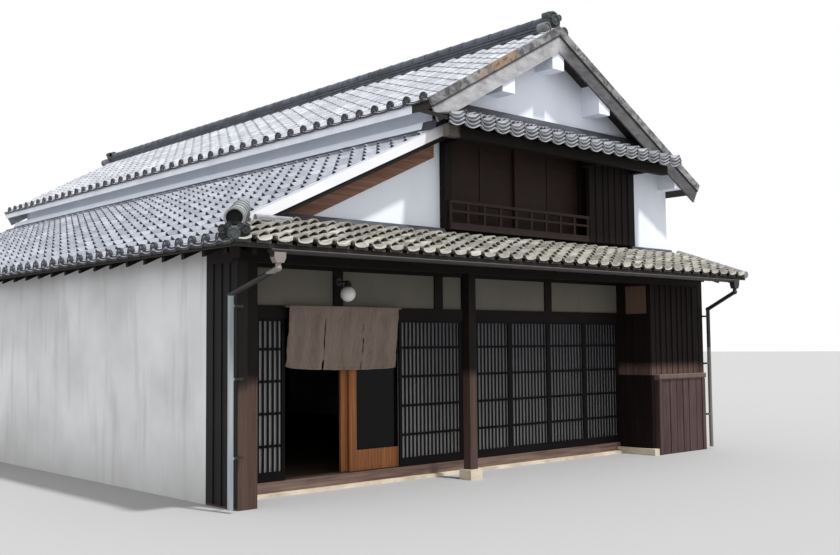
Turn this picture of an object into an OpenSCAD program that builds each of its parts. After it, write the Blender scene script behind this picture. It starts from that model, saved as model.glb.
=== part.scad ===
// Machiya townhouse: a gable-fronted timber house with a tiled main roof, a lean-to aisle
// under a lower roof on the left, a recessed lattice front and a boxed bay on the right.
// Millimetres. x runs along the street front, y runs into the plot, z is up from the ground.
// Built from the centre line of the left front post, then moved so that the origin is the
// middle of the footprint at ground level.

/* [Plan] */
// Centre of the left front post to centre of the right corner post
front_w = 7880; // [7200:10:9600]
// Front face of the front posts to the outer face of the rear wall
house_d = 13400; // [9000:50:16200]
// Depth of the recess behind the front posts
recess = 594; // [450:2:800]
// Centre of the middle front post
mid_post_x = 3054; // [2700:2:3400]
// Left face of the boxed bay
bay_x = 6642; // [6200:2:6800]
// Outer face of the wall between the aisle and the main body
aisle_x = 2995; // [2600:5:3300]
// Line of the main ridge
ridge_x = 5047; // [4400:1:5600]
// Left face of the doorway
door_x = 796; // [600:2:1000]
// Clear width of the doorway
door_w = 1626; // [1500:2:1900]
// Square section of the front posts
post = 115; // [90:1:150]
// Thickness of the plastered walls
wall_t = 120; // [90:1:180]
// Left wall's outer face beyond the left post's centre
side_off = 165; // [150:1:260]

/* [Heights] */
// Underside of the front eave beam
beam_z = 2408; // [2250:2:2600]
// Top of the door track and the lattice sill
sill_top = 150; // [100:1:200]
// Underside of the lintel
lintel_z = 1870; // [1750:2:2000]
// Height of the lintel
lintel_h = 140; // [100:1:180]
// Top of the upper floor's edge beam
deck_z = 2620; // [2550:2:2720]
// Top of the ground floor
floor_top = 120; // [60:1:140]

/* [Main roof] */
// Bed of the tiles over the outer face of the right wall
main_plate_z = 4211; // [3950:1:4400]
// Rise of the main roof for each unit of run
main_pitch = 0.56; // [0.5:0.005:0.62]
// Overhang of the main roof past the aisle wall
left_eave = 364; // [250:2:420]
// Overhang of the main roof past the right wall
right_eave = 418; // [250:2:600]
// Overhang of the verges past the gable walls
verge_out = 350; // [250:2:500]
// Rafters, boards and tile bed, measured upright
main_t = 120; // [90:1:160]
// Height of the ridge above the tile bed
ridge_h = 195; // [140:1:260]
// Width of the ridge
ridge_w = 210; // [160:2:280]

/* [Lower roofs] */
// Tile bed at the front left corner of the eaves
corner_z = 2535; // [2480:5:2620]
// Overhang of the front eave past the front posts
front_eave = 556; // [400:2:700]
// Overhang of the side eave past the left wall
side_eave = 400; // [300:2:550]
// Overhang of the front roof past the right wall
right_verge = 298; // [150:2:400]
// Rise of the front roof for each unit of run
front_pitch = 0.35; // [0.3:0.005:0.42]
// Rise of the aisle roof for each unit of run
aisle_pitch = 0.47; // [0.4:0.005:0.5]
// Overhang of the aisle roof's verges
aisle_verge = 300; // [200:2:400]
// Boards and tile bed of the lower roofs, measured upright
low_t = 50; // [40:1:80]
// Height of the eave rafters
rafter_h = 75; // [50:1:100]
// Width of the eave rafters
rafter_w = 55; // [40:1:80]
// Spacing of the eave rafters
rafter_pitch = 394; // [300:2:500]

/* [Upper window] */
// Plain wall between the main body's left side and the window bay
win_set = 110; // [60:5:250]
// Width of the window bay
win_w = 3805; // [3300:5:4100]
// How far the window bay stands out from the wall
win_out = 100; // [60:1:140]
// Width of the shutter box at the bay's right end
shutter_w = 1055; // [800:5:1300]
// Height of the bay's sill
win_sill_h = 80; // [60:2:140]
// Tile bed at the window roof's eave
hood_z = 4235; // [4180:5:4320]
// Eave of the window roof in front of the bay
hood_out = 550; // [400:5:650]
// Overhang of the window roof past the bay's right end
hood_side = 395; // [250:5:450]
// Rise of the window roof for each unit of run
hood_pitch = 0.36; // [0.3:0.01:0.4]

/* [Lattice and doors] */
// Width of a lattice bar
bar_w = 24; // [18:1:40]
// Spacing of the lattice bars, evened out within each panel
bar_pitch = 62; // [54:1:90]
// Spacing of the lattice's cross rails
rail_pitch = 341; // [300:1:420]
// Width of the lattice frames' stiles
stile_w = 42; // [30:1:60]
// Panels in the wide right lattice
right_panels = 4; // [2:1:6]
// Width of one entrance door
leaf_w = 843; // [825:1:960]
// Thickness of an entrance door
leaf_t = 33; // [28:1:40]
// Width of a door's stiles
leaf_stile = 105; // [70:1:130]
// Height of a door's bottom rail
leaf_foot = 232; // [150:1:300]
// Clearance round the sliding doors
gap = 8; // [6:1:12]
// Left edge of the outer door as it stands
outer_rest = 1700; // [1620:2:1740]
// Left edge of the inner door as it stands
inner_rest = 1610; // [1590:2:1700]

/* [Fittings] */
// Width of the hung door curtain
curtain_w = 1547; // [1300:2:1620]
// Drop of the hung door curtain
curtain_h = 690; // [500:5:900]
// How far the wind holds the curtain's hem in
curtain_blow = 92; // [0:2:104]
// Diameter of the porch lamp's globe
globe_d = 170; // [120:2:220]
// Radius of the rain gutter
gutter_r = 42; // [36:1:60]
// Diameter of the downpipes
pipe_d = 56; // [42:1:76]

/* [Hidden] */
$fn = 48;
// Clearance where sloping faces meet
seat = 0.05;

// Plan lines worked out from the driving sizes
left_x = -side_off;
right_x = front_w + post / 2;
rear_y = house_d;
wall_y = recess;
inner_y = wall_y + wall_t;
inner_rear_y = rear_y - wall_t;
side_eave_x = left_x - side_eave;
front_eave_y = -front_eave;
main_left_x = aisle_x - left_eave;
main_right_x = right_x + right_eave;
main_front_y = wall_y - verge_out;
main_rear_y = rear_y + verge_out;
low_front_y = wall_y - aisle_verge;
low_rear_y = rear_y + aisle_verge;
pent_right_x = right_x + right_verge;
main_apex_z = main_plate_z + main_pitch * (right_x - ridge_x);
// Eave tiles hang this far past the main roof's slabs
tile_out = 30;

// Hip at the front left corner, and the end tile that stands on it
hip_turn = atan2(aisle_pitch, front_pitch);
hip_run = (low_front_y - front_eave_y) / sin(hip_turn);
hip_rise = atan(front_pitch * sin(hip_turn));
hip_len = hip_run / cos(hip_rise) + 150;
hip_w = 170;
hip_h = 245;
hip_end_w = 260;
hip_end_h = 300;
hip_end_foot = 36;
hip_end_off = 20;
oni_t = 60;
valley_gap = 20;
hip_rafter_w = 90;
hip_rafter_h = 100;

// Short ridge in front of the aisle roof's verge, from the hip to the right
short_w = 96;
short_h = 112;
short_len = 430;

// Middle of the footprint
gutter_y = front_eave_y - 20;
bounds_front_y = gutter_y - gutter_r;
bounds_left_x = side_eave_x + hip_end_off * cos(hip_turn) - hip_end_w / 2 * sin(hip_turn);
centre_x = (bounds_left_x + main_right_x) / 2;
centre_y = (bounds_front_y + main_rear_y) / 2;

// Height of each roof's tile bed
function main_bed(x) = main_apex_z - main_pitch * abs(x - ridge_x);
function aisle_bed(x) = corner_z + aisle_pitch * (x - side_eave_x);
function front_bed(y) = corner_z + front_pitch * (y - front_eave_y);
function hood_bed(y) = hood_z + hood_pitch * (y - hood_eave_y);
function main_under(x) = main_bed(x) - main_t - seat;
function aisle_under(x) = aisle_bed(x) - low_t - seat;
function front_under(y) = front_bed(y) - low_t - seat;
// Plan line of the hip, where the aisle roof and the front roof meet
function hip_x(y) = side_eave_x + (y - front_eave_y) * front_pitch / aisle_pitch;
// Where the aisle roof's underside clears a height
function aisle_clear_x(z) = side_eave_x + (z + low_t - corner_z) / aisle_pitch;

// Stones under the timbers
stone_h = 118;
stone_w = 190;
kerb_out = 90;
sill_foot = 35;
bay_foot = 90;
bay_lip = 60;

// Front wall
frame_front_y = wall_y - 10;
frame_back_y = wall_y + 150;
lattice_t = 26;
glass_t = 5;
lintel_top = lintel_z + lintel_h;
left_post_x1 = post / 2;
mid_frame_x = mid_post_x + 406;
mid_frame_w = 120;
mid_frame_x1 = mid_frame_x + mid_frame_w;
door_x1 = door_x + door_w;
stud_w = 135;
stud_xs = [1516, mid_post_x + 11, mid_post_x + 2055];
kokabe_set = 20;
// Plaster panel high on the bay's left return
return_panel_w = 360;
return_panel_in = 150;
return_panel_set = 20;
return_panel_t = 12;

// Lattice panels: bars in front, cross rails lapped into their backs
bar_d = 10;
lap = 4;
rail_h = 28;
panel_foot = 100;

// Entrance doors run in two tracks behind the lattice
outer_y = wall_y + lattice_t + glass_t + gap;
inner_track_y = outer_y + leaf_t + gap;
leaf_z = sill_top + gap;
leaf_h = lintel_z - sill_top - 2 * gap;

// Boxed bay
bay_wall_t = 100;
board_set = 12;
board_back_y = post - 25;
apron_out = 50;
apron_top = 1057;
cap_h = 63;
cap_out = 28;
cap_fall = 12;
apron_side = 53;
apron_end = 15;

// Door curtain and porch lamp
rod_d = 22;
rod_y = wall_y - 70;
rod_z = lintel_top - 10;
peg_w = 18;
rod_end = 50;
curtain_x = door_x + 4;
curtain_t = 8;
lamp_x = stud_xs[0];
lamp_y = wall_y - 179;
lamp_z = lintel_top + 136;
lamp_neck_z = lamp_z + globe_d / 2 - 6;
lamp_cap_h = 62;
lamp_arm_w = 18;
lamp_plate_d = 90;
lamp_plate_t = 12;

// Upper window
win_x = aisle_x + win_set;
win_x1 = win_x + win_w;
win_lift = 55;
win_y = wall_y - win_out;
hood_eave_y = win_y - hood_out;
hood_rafter_h = 60;
hood_rafters = 13;
hood_rafter_in = 30;
hood_x = main_left_x;
hood_x1 = win_x1 + hood_side;
win_low_z = front_bed(wall_y) + win_lift;
win_sill_z = win_low_z + win_sill_h;
win_top_z = hood_bed(win_y) - low_t - hood_rafter_h;
win_post = 115;
win_head_h = 120;
win_panels = 4;
panel_t = 30;
panel_lap = 25;
shutter_x = win_x1 - shutter_w;
shutter_out = 50;
shutter_top_z = win_top_z - 173;
beam_y = hood_eave_y + 116;
beam_d = 100;
beam_h = 130;
beam_ends = [130, 80];
arm_w = 90;

// Railing of the upper window
rail_w = 36;
rail_y = win_y - 45;
rail_band_h = 84;
rail_mid_z = win_sill_z + 130;
rail_mid_h = 28;
rail_top_z = win_sill_z + 242;
rail_top_h = 38;
rail_lip = 4;
rail_posts = 10;
rail_start = 40;
rail_tie_h = 30;

// Ridge ends and purlin ends
upper_verge_t = 40;
barge_t = 25;
verge_rise = 35;
verge_drop = 100;
barge_drop = 325;
slab_front_y = main_front_y + upper_verge_t;
slab_rear_y = main_rear_y - upper_verge_t;
slab_left_x = main_left_x + tile_out;
slab_right_x = main_right_x - tile_out;
purlin_w = 235;
purlin_low = 560;
side_purlin_x = 992;
side_purlin_low = 474;
plate_w = 210;
plate_low = 415;
oni_w = 330;
oni_h = 270;
oni_foot = 120;
oni_disc = 70;
oni_y = wall_y - 214;
rear_oni_y = rear_y + 154;

// Aisle roof verge: a plastered band over a board, and a beam on the wall below them
band_t = 50;
band_rise = 60;
band_drop = 75;
board_t = 35;
board_drop = 132;
lean_beam_t = 20;
lean_beam_z = [-150, 335];

// Flashings, as width, height at the outer edge and height at the wall
aisle_flash = [190, 50, 97];
hood_flash = [90, 110, 150];
front_flash = [110, 45, 75];

// Rear windows, each as its left edge, its sill height and its own height
rear_win_w = 1700;
rear_windows = [[1100, 900, 1000], [4135, 3300, 900], [5600, 900, 1000]];
rear_bar_pitch = 124;

// Gutter, its outlets and its downpipes
gutter_t = 4;
gutter_z = front_under(front_eave_y) - 5;
gutter_ends = [left_x - 20, right_x + 40];
outlet_xs = [left_x + 72, right_x - 37];
outlet_w = 70;
outlet_foot = 40;
outlet_drop = 128;
pipe_xs = [left_x - 118, right_x + 68];
pipe_y = -56;
pipe_foot = 30;
pipe_top_z = 2070;
strap_zs = [500, 1250, 1950];
strap_w = 18;
strap_h = 25;
strap_in = 10;

// Carries every piece from the post grid to the middle of the footprint
module placed() translate([-centre_x, -centre_y, 0]) children();

// Extrudes an outline drawn in x and z from y0 to y1
module along_y(y0, y1)
    translate([0, y1, 0]) rotate([90, 0, 0]) linear_extrude(y1 - y0) children();

// Extrudes an outline drawn in y and z from x0 to x1
module along_x(x0, x1)
    translate([x0, 0, 0]) rotate([90, 0, 90]) linear_extrude(x1 - x0) children();

// A box from one corner to the opposite one
module block(low, high) translate(low) cube(high - low);

// Outline of the main roof between two heights over its tile bed
module main_chevron(rise, drop)
    polygon([[main_left_x, main_bed(main_left_x) - drop], [ridge_x, main_apex_z - drop],
        [main_right_x, main_bed(main_right_x) - drop], [main_right_x, main_bed(main_right_x) + rise],
        [ridge_x, main_apex_z + rise], [main_left_x, main_bed(main_left_x) + rise]]);

// How far in from the eave a barge board's square end lies at a height over the tile bed
function end_in(level) = main_pitch * (verge_rise - level) / (1 + main_pitch * main_pitch);

// Outline of the barge boards, their ends cut square to the slopes
module barge_chevron(rise, drop) {
    low_x = [main_left_x + end_in(-drop), main_right_x - end_in(-drop)];
    top_x = [main_left_x + end_in(rise), main_right_x - end_in(rise)];
    polygon([[low_x[0], main_bed(low_x[0]) - drop], [ridge_x, main_apex_z - drop],
        [low_x[1], main_bed(low_x[1]) - drop], [top_x[1], main_bed(top_x[1]) + rise],
        [ridge_x, main_apex_z + rise], [top_x[0], main_bed(top_x[0]) + rise]]);
}

// Outline of the aisle roof between two heights over its tile bed
module aisle_strip(x0, x1, rise, drop)
    polygon([[x0, aisle_bed(x0) - drop], [x1, aisle_bed(x1) - drop],
        [x1, aisle_bed(x1) + rise], [x0, aisle_bed(x0) + rise]]);

// Outline of the front roof between two heights over its tile bed
module front_strip(y0, y1, rise, drop)
    polygon([[y0, front_bed(y0) - drop], [y1, front_bed(y1) - drop],
        [y1, front_bed(y1) + rise], [y0, front_bed(y0) + rise]]);

// Outline of the window roof between two heights over its tile bed
module hood_strip(y0, y1, rise, drop)
    polygon([[y0, hood_bed(y0) - drop], [y1, hood_bed(y1) - drop],
        [y1, hood_bed(y1) + rise], [y0, hood_bed(y0) + rise]]);

// Everything on the left of the hip's plan line
module left_of_hip(y0, y1)
    linear_extrude(4000) polygon([[side_eave_x - 500, y0], [hip_x(y0), y0], [hip_x(y1), y1],
        [side_eave_x - 500, y1]]);

// Everything under both tile beds at the corner
module under_hip()
    intersection() {
        along_x(side_eave_x - 300, pent_right_x) front_strip(front_eave_y - 300, wall_y, 0, 3000);
        along_y(front_eave_y - 300, wall_y) aisle_strip(side_eave_x - 300, aisle_x, 0, 3000);
    }

// Stands at the eaves' corner and looks up along the hip
module at_hip() translate([side_eave_x, front_eave_y, corner_z]) rotate([0, 0, hip_turn]) children();

// What the main roof and its barge boards take up over the front gable
module main_roof_space() {
    along_y(main_front_y, slab_front_y) main_chevron(800, barge_drop + seat);
    along_y(slab_front_y, inner_y) main_chevron(800, main_t + seat);
}

// Outline of a ridge of stacked tiles under a round cap, from below its base to its top
module ridge_outline(w, h, foot) {
    cap_r = w * 0.36;
    steps = 3;
    step_h = (h - cap_r * 1.15 + foot) / steps;
    for (i = [0 : steps - 1])
        translate([-w / 2 + i * w * 0.035, i * step_h - foot])
            square([w * (1 - i * 0.07), step_h + (i < steps - 1 ? 1 : 0)]);
    translate([0, h - cap_r]) circle(r = cap_r);
}

// Outline of a ridge-end tile: splayed feet, round shoulders and a round head
module oni_outline(w, h, foot) {
    polygon([[-w / 2, -foot], [w / 2, -foot], [w * 0.43, h * 0.3], [w * 0.34, h * 0.6],
        [-w * 0.34, h * 0.6], [-w * 0.43, h * 0.3]]);
    translate([0, h - w * 0.34]) circle(r = w * 0.34);
}

// Outline of a stepped flashing on a wall at 0, over a slope from low to high
module flash_outline(low, high, size)
    polygon([[-size[0], low + seat], [0, high + seat], [0, high + size[2]],
        [-0.8 * size[0], high + size[2] - 15], [-size[0], low + size[1]]]);

module base_stones() color("lightgray") placed() {
    block([mid_post_x - stone_w / 2, (post - stone_w) / 2, 0],
        [mid_post_x + stone_w / 2, (post + stone_w) / 2, stone_h]);
    block([left_post_x1, wall_y - kerb_out, 0], [bay_x, frame_back_y, sill_foot]);
    block([bay_x - bay_lip, -apron_out, 0], [bay_x + apron_side, frame_front_y, bay_foot]);
    block([bay_x, 0, 0], [right_x - wall_t, wall_y, bay_foot]);
    block([right_x - wall_t - 1, 0, 0], [right_x, post, bay_foot]);
}

module ground_floor() color("rosybrown") placed()
    difference() {
        union() {
            block([left_x + wall_t, frame_back_y, 0], [right_x - wall_t, inner_rear_y, floor_top]);
            // Floor of the boxed bay
            block([bay_x + post, wall_y, 0], [right_x - wall_t, frame_back_y + 1, floor_top]);
            block([bay_x + bay_wall_t, board_back_y, bay_foot], [right_x - wall_t, wall_y, floor_top]);
            block([bay_x + post, wall_y - 1, bay_foot], [right_x - wall_t, wall_y + 1, floor_top]);
        }
        block([front_w - post / 2, 0, 0], [right_x + 1, post, beam_z]);
    }

module front_posts() color("saddlebrown") placed() {
    block([-post / 2, 0, 0], [post / 2, post, beam_z]);
    block([mid_post_x - post / 2, 0, stone_h], [mid_post_x + post / 2, post, beam_z]);
    block([front_w - post / 2, 0, bay_foot], [right_x, post, beam_z]);
}

module eave_beam() color("saddlebrown") placed()
    along_x(left_x, right_x)
        polygon([[0, beam_z], [post, beam_z], [post, front_under(post) - rafter_h - seat],
            [0, front_under(0) - rafter_h - seat]]);

module ground_sill() color("saddlebrown") placed() {
    block([left_post_x1, frame_front_y, sill_foot], [mid_frame_x, frame_back_y, sill_top]);
    block([mid_frame_x1, frame_front_y, sill_foot], [bay_x, frame_back_y, sill_top]);
}

// Posts, lintel and studs of the recessed front
module front_wall_frame() color("saddlebrown") placed() {
    block([left_x + wall_t, frame_front_y, 0], [left_post_x1, frame_back_y, beam_z]);
    block([mid_frame_x, frame_front_y, sill_foot], [mid_frame_x1, frame_back_y, beam_z]);
    block([bay_x, wall_y, 0], [bay_x + post, frame_back_y, beam_z]);
    block([left_post_x1 - 1, frame_front_y, lintel_z], [bay_x, frame_back_y, lintel_top]);
    block([bay_x - 1, wall_y, lintel_z], [bay_x + 1, frame_back_y, lintel_top]);
    for (x = stud_xs)
        block([x - stud_w / 2, frame_front_y, lintel_z + 1], [x + stud_w / 2, frame_back_y, beam_z]);
}

module upper_floor_beam() color("saddlebrown") placed()
    block([left_x + wall_t, wall_y, beam_z], [right_x - wall_t, frame_back_y, deck_z]);

// Hollow for the plaster panel in the bay's left return, and the panel when it is set back
module return_panel(out, set)
    block([bay_x + out, wall_y - return_panel_in - return_panel_w, lintel_top - kokabe_set],
        [bay_x + set, wall_y - return_panel_in, beam_z - kokabe_set]);

// Small plaster walls between the studs, over the lintel
module kokabe_wall() color("wheat") placed() {
    return_panel(return_panel_set - return_panel_t, return_panel_set);
    difference() {
        block([left_post_x1, frame_front_y + kokabe_set, lintel_top],
            [bay_x, frame_back_y - kokabe_set, beam_z]);
        for (x = stud_xs)
            block([x - stud_w / 2, wall_y - 20, lintel_z], [x + stud_w / 2, frame_back_y, beam_z + 1]);
        block([mid_frame_x, wall_y - 20, lintel_z], [mid_frame_x1, frame_back_y, beam_z + 1]);
    }
}

// Boarded wing wall between the left post and the recessed front
module left_wing_boards() color("dimgray") placed()
    along_x(left_x, -post / 2)
        polygon([[0, 0], [wall_y, 0], [wall_y, aisle_under(left_x)], [post, aisle_under(left_x)],
            [post, beam_z], [0, beam_z]]);

module left_wall() color("gainsboro") placed()
    along_y(wall_y, inner_rear_y)
        polygon([[left_x, 0], [left_x + wall_t, 0], [left_x + wall_t, aisle_under(left_x + wall_t)],
            [left_x, aisle_under(left_x)]]);

module right_wall() color("gainsboro") placed()
    along_y(inner_y, inner_rear_y)
        polygon([[right_x - wall_t, 0], [right_x, 0], [right_x, main_under(right_x)],
            [right_x - wall_t, main_under(right_x - wall_t)]]);

// Left return and right side of the boxed bay
module bay_side_walls() color("saddlebrown") placed() {
    difference() {
        along_x(bay_x, bay_x + bay_wall_t)
            polygon([[board_set, bay_foot], [wall_y, bay_foot], [wall_y, front_under(wall_y) - rafter_h],
                [post, front_under(post) - rafter_h], [post, beam_z], [board_set, beam_z]]);
        return_panel(-1, return_panel_set);
    }
    along_x(right_x - wall_t, right_x)
        polygon([[post, 0], [inner_y, 0], [inner_y, deck_z], [wall_y, deck_z],
            [wall_y, front_under(wall_y) - rafter_h], [post, front_under(post) - rafter_h]]);
}

module bay_board_wall() color("maroon") placed()
    block([bay_x + bay_wall_t, board_set, bay_foot], [front_w - post / 2, board_back_y, beam_z]);

// Low boarded apron in front of the boxed bay, under a sloping cap
module bay_apron() color("maroon") placed() {
    along_x(bay_x + apron_side, right_x - apron_side - apron_end)
        polygon([[0, 0], [0, apron_top + cap_h], [-apron_out - cap_out, apron_top + cap_h - cap_fall],
            [-apron_out - cap_out, apron_top], [-apron_out, apron_top], [-apron_out, 0]]);
    // Packing back to the boards, beside the post
    block([bay_x + apron_side, -1, bay_foot], [front_w - post / 2, board_set, apron_top + cap_h - 1]);
}

// One framed lattice panel
module lattice_panel(x0, x1) {
    z0 = sill_top;
    z1 = lintel_z;
    inner_w = x1 - x0 - 2 * stile_w;
    bars = round((inner_w + bar_w) / bar_pitch) - 1;
    space = (inner_w - bars * bar_w) / (bars + 1);
    rails = floor((z1 - z0 - panel_foot) / rail_pitch);
    difference() {
        block([x0, wall_y, z0], [x1, wall_y + lattice_t, z1]);
        block([x0 + stile_w, wall_y - 1, z0 + panel_foot],
            [x1 - stile_w, wall_y + lattice_t + 1, z1 - rail_h]);
    }
    for (i = [1 : bars]) {
        x = x0 + stile_w + i * space + (i - 1) * bar_w;
        block([x, wall_y, z0 + panel_foot - 1], [x + bar_w, wall_y + bar_d, z1 - rail_h + 1]);
    }
    for (k = [1 : rails])
        block([x0 + stile_w - 1, wall_y + bar_d - lap, z1 - k * rail_pitch],
            [x1 - stile_w + 1, wall_y + lattice_t, z1 - k * rail_pitch + rail_h]);
}

module lattice_left() color("black") placed() lattice_panel(left_post_x1, door_x);

module lattice_middle() color("black") placed() lattice_panel(door_x1, mid_frame_x);

module lattice_right() color("black") placed() {
    panel = (bay_x - mid_frame_x1) / right_panels;
    for (i = [0 : right_panels - 1])
        lattice_panel(mid_frame_x1 + i * panel, mid_frame_x1 + (i + 1) * panel);
}

module lattice_glass() color("slategray") placed()
    for (x = [[left_post_x1, door_x], [door_x1, mid_frame_x], [mid_frame_x1, bay_x]])
        block([x[0], wall_y + lattice_t, sill_top], [x[1], wall_y + lattice_t + glass_t, lintel_z]);

// Frame of an entrance door, from its lower left corner
module leaf_frame()
    difference() {
        block([0, 0, 0], [leaf_w, leaf_t, leaf_h]);
        block([leaf_stile, -1, leaf_foot], [leaf_w - leaf_stile, leaf_t + 1, leaf_h - leaf_stile]);
    }

module leaf_pane()
    block([leaf_stile, (leaf_t - glass_t) / 2, leaf_foot],
        [leaf_w - leaf_stile, (leaf_t + glass_t) / 2, leaf_h - leaf_stile]);

module entrance_door_outer() color("chocolate") placed()
    translate([outer_rest, outer_y, leaf_z]) leaf_frame();

module entrance_door_inner() color("chocolate") placed()
    translate([inner_rest, inner_track_y, leaf_z]) leaf_frame();

module outer_door_glass() color("lightslategray") placed()
    translate([outer_rest, outer_y, leaf_z]) leaf_pane();

module inner_door_glass() color("lightslategray") placed()
    translate([inner_rest, inner_track_y, leaf_z]) leaf_pane();

// Rod of the door curtain, held off the lintel by two pegs
module noren_rod() color("peru") placed() {
    for (x = [curtain_x - rod_end / 2, curtain_x + curtain_w + rod_end / 2])
        block([x - peg_w / 2, rod_y, rod_z - peg_w / 2], [x + peg_w / 2, frame_front_y, rod_z + peg_w / 2]);
    translate([curtain_x - rod_end, rod_y, rod_z]) rotate([0, 90, 0])
        cylinder(h = curtain_w + 2 * rod_end, d = rod_d);
}

// Door curtain, held in at its hem by the wind
module noren() color("tan") placed() {
    steps = 8;
    line = [for (i = [0 : steps]) [rod_y + curtain_blow * pow(i / steps, 1.5),
        rod_z - rod_d / 2 - curtain_h * i / steps]];
    along_x(curtain_x, curtain_x + curtain_w)
        polygon(concat([for (p = line) p - [curtain_t / 2, 0]],
            [for (i = [steps : -1 : 0]) line[i] + [curtain_t / 2, 0]]));
}

module lamp_bracket() color("dimgray") placed() {
    arm_z = lamp_neck_z + lamp_cap_h;
    translate([lamp_x, frame_front_y - lamp_plate_t, arm_z]) rotate([-90, 0, 0])
        cylinder(h = lamp_plate_t, d = lamp_plate_d);
    block([lamp_x - lamp_arm_w / 2, lamp_y - lamp_arm_w / 2, arm_z - lamp_arm_w / 2],
        [lamp_x + lamp_arm_w / 2, frame_front_y - lamp_plate_t + 1, arm_z + lamp_arm_w / 2]);
    translate([lamp_x, lamp_y, lamp_neck_z]) cylinder(h = lamp_cap_h, d1 = 96, d2 = 60);
}

module lamp_globe() color("white") placed()
    difference() {
        translate([lamp_x, lamp_y, lamp_z]) sphere(d = globe_d);
        translate([lamp_x, lamp_y, lamp_neck_z]) cylinder(h = 20, d = globe_d);
    }

module front_pent_roof() color("darkkhaki") placed()
    difference() {
        along_x(side_eave_x - 100, pent_right_x) front_strip(front_eave_y, wall_y, 0, low_t);
        translate([seat, 0, 0]) left_of_hip(front_eave_y - 1, wall_y + 1);
        // The aisle roof lies over the corner behind its verge
        along_y(low_front_y + band_t, wall_y + 1) aisle_strip(side_eave_x, aisle_x, 500, low_t + seat);
        translate([valley_gap, 0, 0]) left_of_hip(low_front_y + band_t, wall_y + 1);
    }

// Rafters under both lower roofs, the hip rafter, and the rafters of the window roof
module eave_rafters() color("saddlebrown") placed() {
    end_set = 45;
    first_x = left_post_x1 + rafter_w / 2;
    front_n = floor((pent_right_x - rafter_w / 2 - first_x) / rafter_pitch);
    for (i = [-1 : front_n]) {
        x = first_x + i * rafter_pitch;
        hip_y = front_eave_y + (x - rafter_w / 2 - side_eave_x) * aisle_pitch / front_pitch
            - hip_rafter_w / 2 / cos(hip_turn);
        translate([0, 0, -low_t - seat]) along_x(x - rafter_w / 2, x + rafter_w / 2)
            front_strip(front_eave_y + end_set, min(wall_y, hip_y), 0, rafter_h);
    }
    side_n = floor((low_rear_y - band_t - 2 * rafter_w) / rafter_pitch);
    for (i = [-1 : side_n]) {
        y = rafter_w + i * rafter_pitch;
        side_end = hip_x(y - rafter_w / 2) - hip_rafter_w / 2 / sin(hip_turn);
        translate([0, 0, -low_t - seat]) along_y(y - rafter_w / 2, y + rafter_w / 2)
            aisle_strip(side_eave_x + end_set, i < 0 ? side_end : left_x, 0, rafter_h);
    }
    // Hip rafter from the corner to the eave beam, its top backed to both roofs
    intersection() {
        translate([0, 0, -low_t - seat]) under_hip();
        at_hip() rotate([0, -hip_rise, 0]) translate([end_set, -hip_rafter_w / 2, -low_t - hip_rafter_h - 20])
            cube([hip_len, hip_rafter_w, hip_rafter_h + 20]);
        block([side_eave_x, front_eave_y, 0], [left_post_x1, 0, main_apex_z]);
    }
    difference() {
        for (i = [0 : hood_rafters - 1]) {
            x = aisle_x + i * (win_x1 - aisle_x - rafter_w) / (hood_rafters - 1);
            translate([0, 0, -low_t - seat]) along_x(x, x + rafter_w)
                hood_strip(hood_eave_y + hood_rafter_in, wall_y, 0, hood_rafter_h);
        }
        main_roof_space();
    }
}

module lean_to_roof() color("silver") placed() {
    along_y(low_front_y + band_t, low_rear_y - band_t) aisle_strip(side_eave_x, aisle_x, 0, low_t);
    // Corner in front of the verge, as far as the hip
    intersection() {
        along_y(front_eave_y, low_front_y + band_t + 1) aisle_strip(side_eave_x, aisle_x, 0, low_t);
        left_of_hip(front_eave_y, low_front_y + band_t + 1);
    }
}

// Ridge over the hip, from its end tile to the foot of the aisle roof's verge
module hip_ridge() color("slategray") placed() {
    difference() {
        at_hip() rotate([0, -hip_rise, 0]) rotate([90, 0, 90]) linear_extrude(hip_len)
            ridge_outline(hip_w, hip_h, hip_end_foot);
        under_hip();
        at_hip() block([-hip_len, -hip_w, -corner_z / 2], [hip_end_off + oni_t, hip_w, corner_z / 2]);
        block([side_eave_x, low_front_y, 0], [aisle_x, wall_y, main_apex_z]);
    }
    // Short ridge in front of the verge's foot
    short_y = low_front_y - short_w / 2;
    short_x = hip_x(low_front_y) + hip_w / 2 / sin(hip_turn) + short_w / 4;
    difference() {
        along_x(short_x, short_x + short_len) translate([short_y, front_bed(short_y)])
            ridge_outline(short_w, short_h, short_w * front_pitch);
        along_x(short_x - 1, short_x + short_len + 1) front_strip(front_eave_y, wall_y, seat, 3000);
    }
}

// Band and board along the aisle roof's verge, from the foot to the main wall
module verge_strips(foot_x, band_y, board_y) {
    along_y(band_y, band_y + band_t) aisle_strip(foot_x, aisle_x, band_rise, band_drop);
    along_y(board_y, board_y + board_t) aisle_strip(foot_x, aisle_x, -band_drop + 1, board_drop);
}

module lean_to_verge() color("white") placed() {
    difference() {
        verge_strips(hip_x(low_front_y) - 40, low_front_y, low_front_y + band_t - board_t);
        along_x(side_eave_x - 100, pent_right_x) front_strip(low_front_y - 100, wall_y, 0, 3000);
    }
    verge_strips(side_eave_x, low_rear_y - band_t, low_rear_y - band_t);
}

// Beam on the wall under the front verge
module lean_to_beam() color("peru") placed()
    along_y(wall_y - lean_beam_t, wall_y)
        aisle_strip(aisle_clear_x(front_bed(wall_y) + front_flash[2] + lean_beam_z[1]), aisle_x,
            lean_beam_z[0], lean_beam_z[1]);

module lean_to_gable_wall() color("white") placed()
    along_y(wall_y, inner_y)
        polygon([[left_x + wall_t, deck_z], [aisle_x, deck_z], [aisle_x, aisle_under(aisle_x)],
            [left_x + wall_t, aisle_under(left_x + wall_t)]]);

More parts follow.
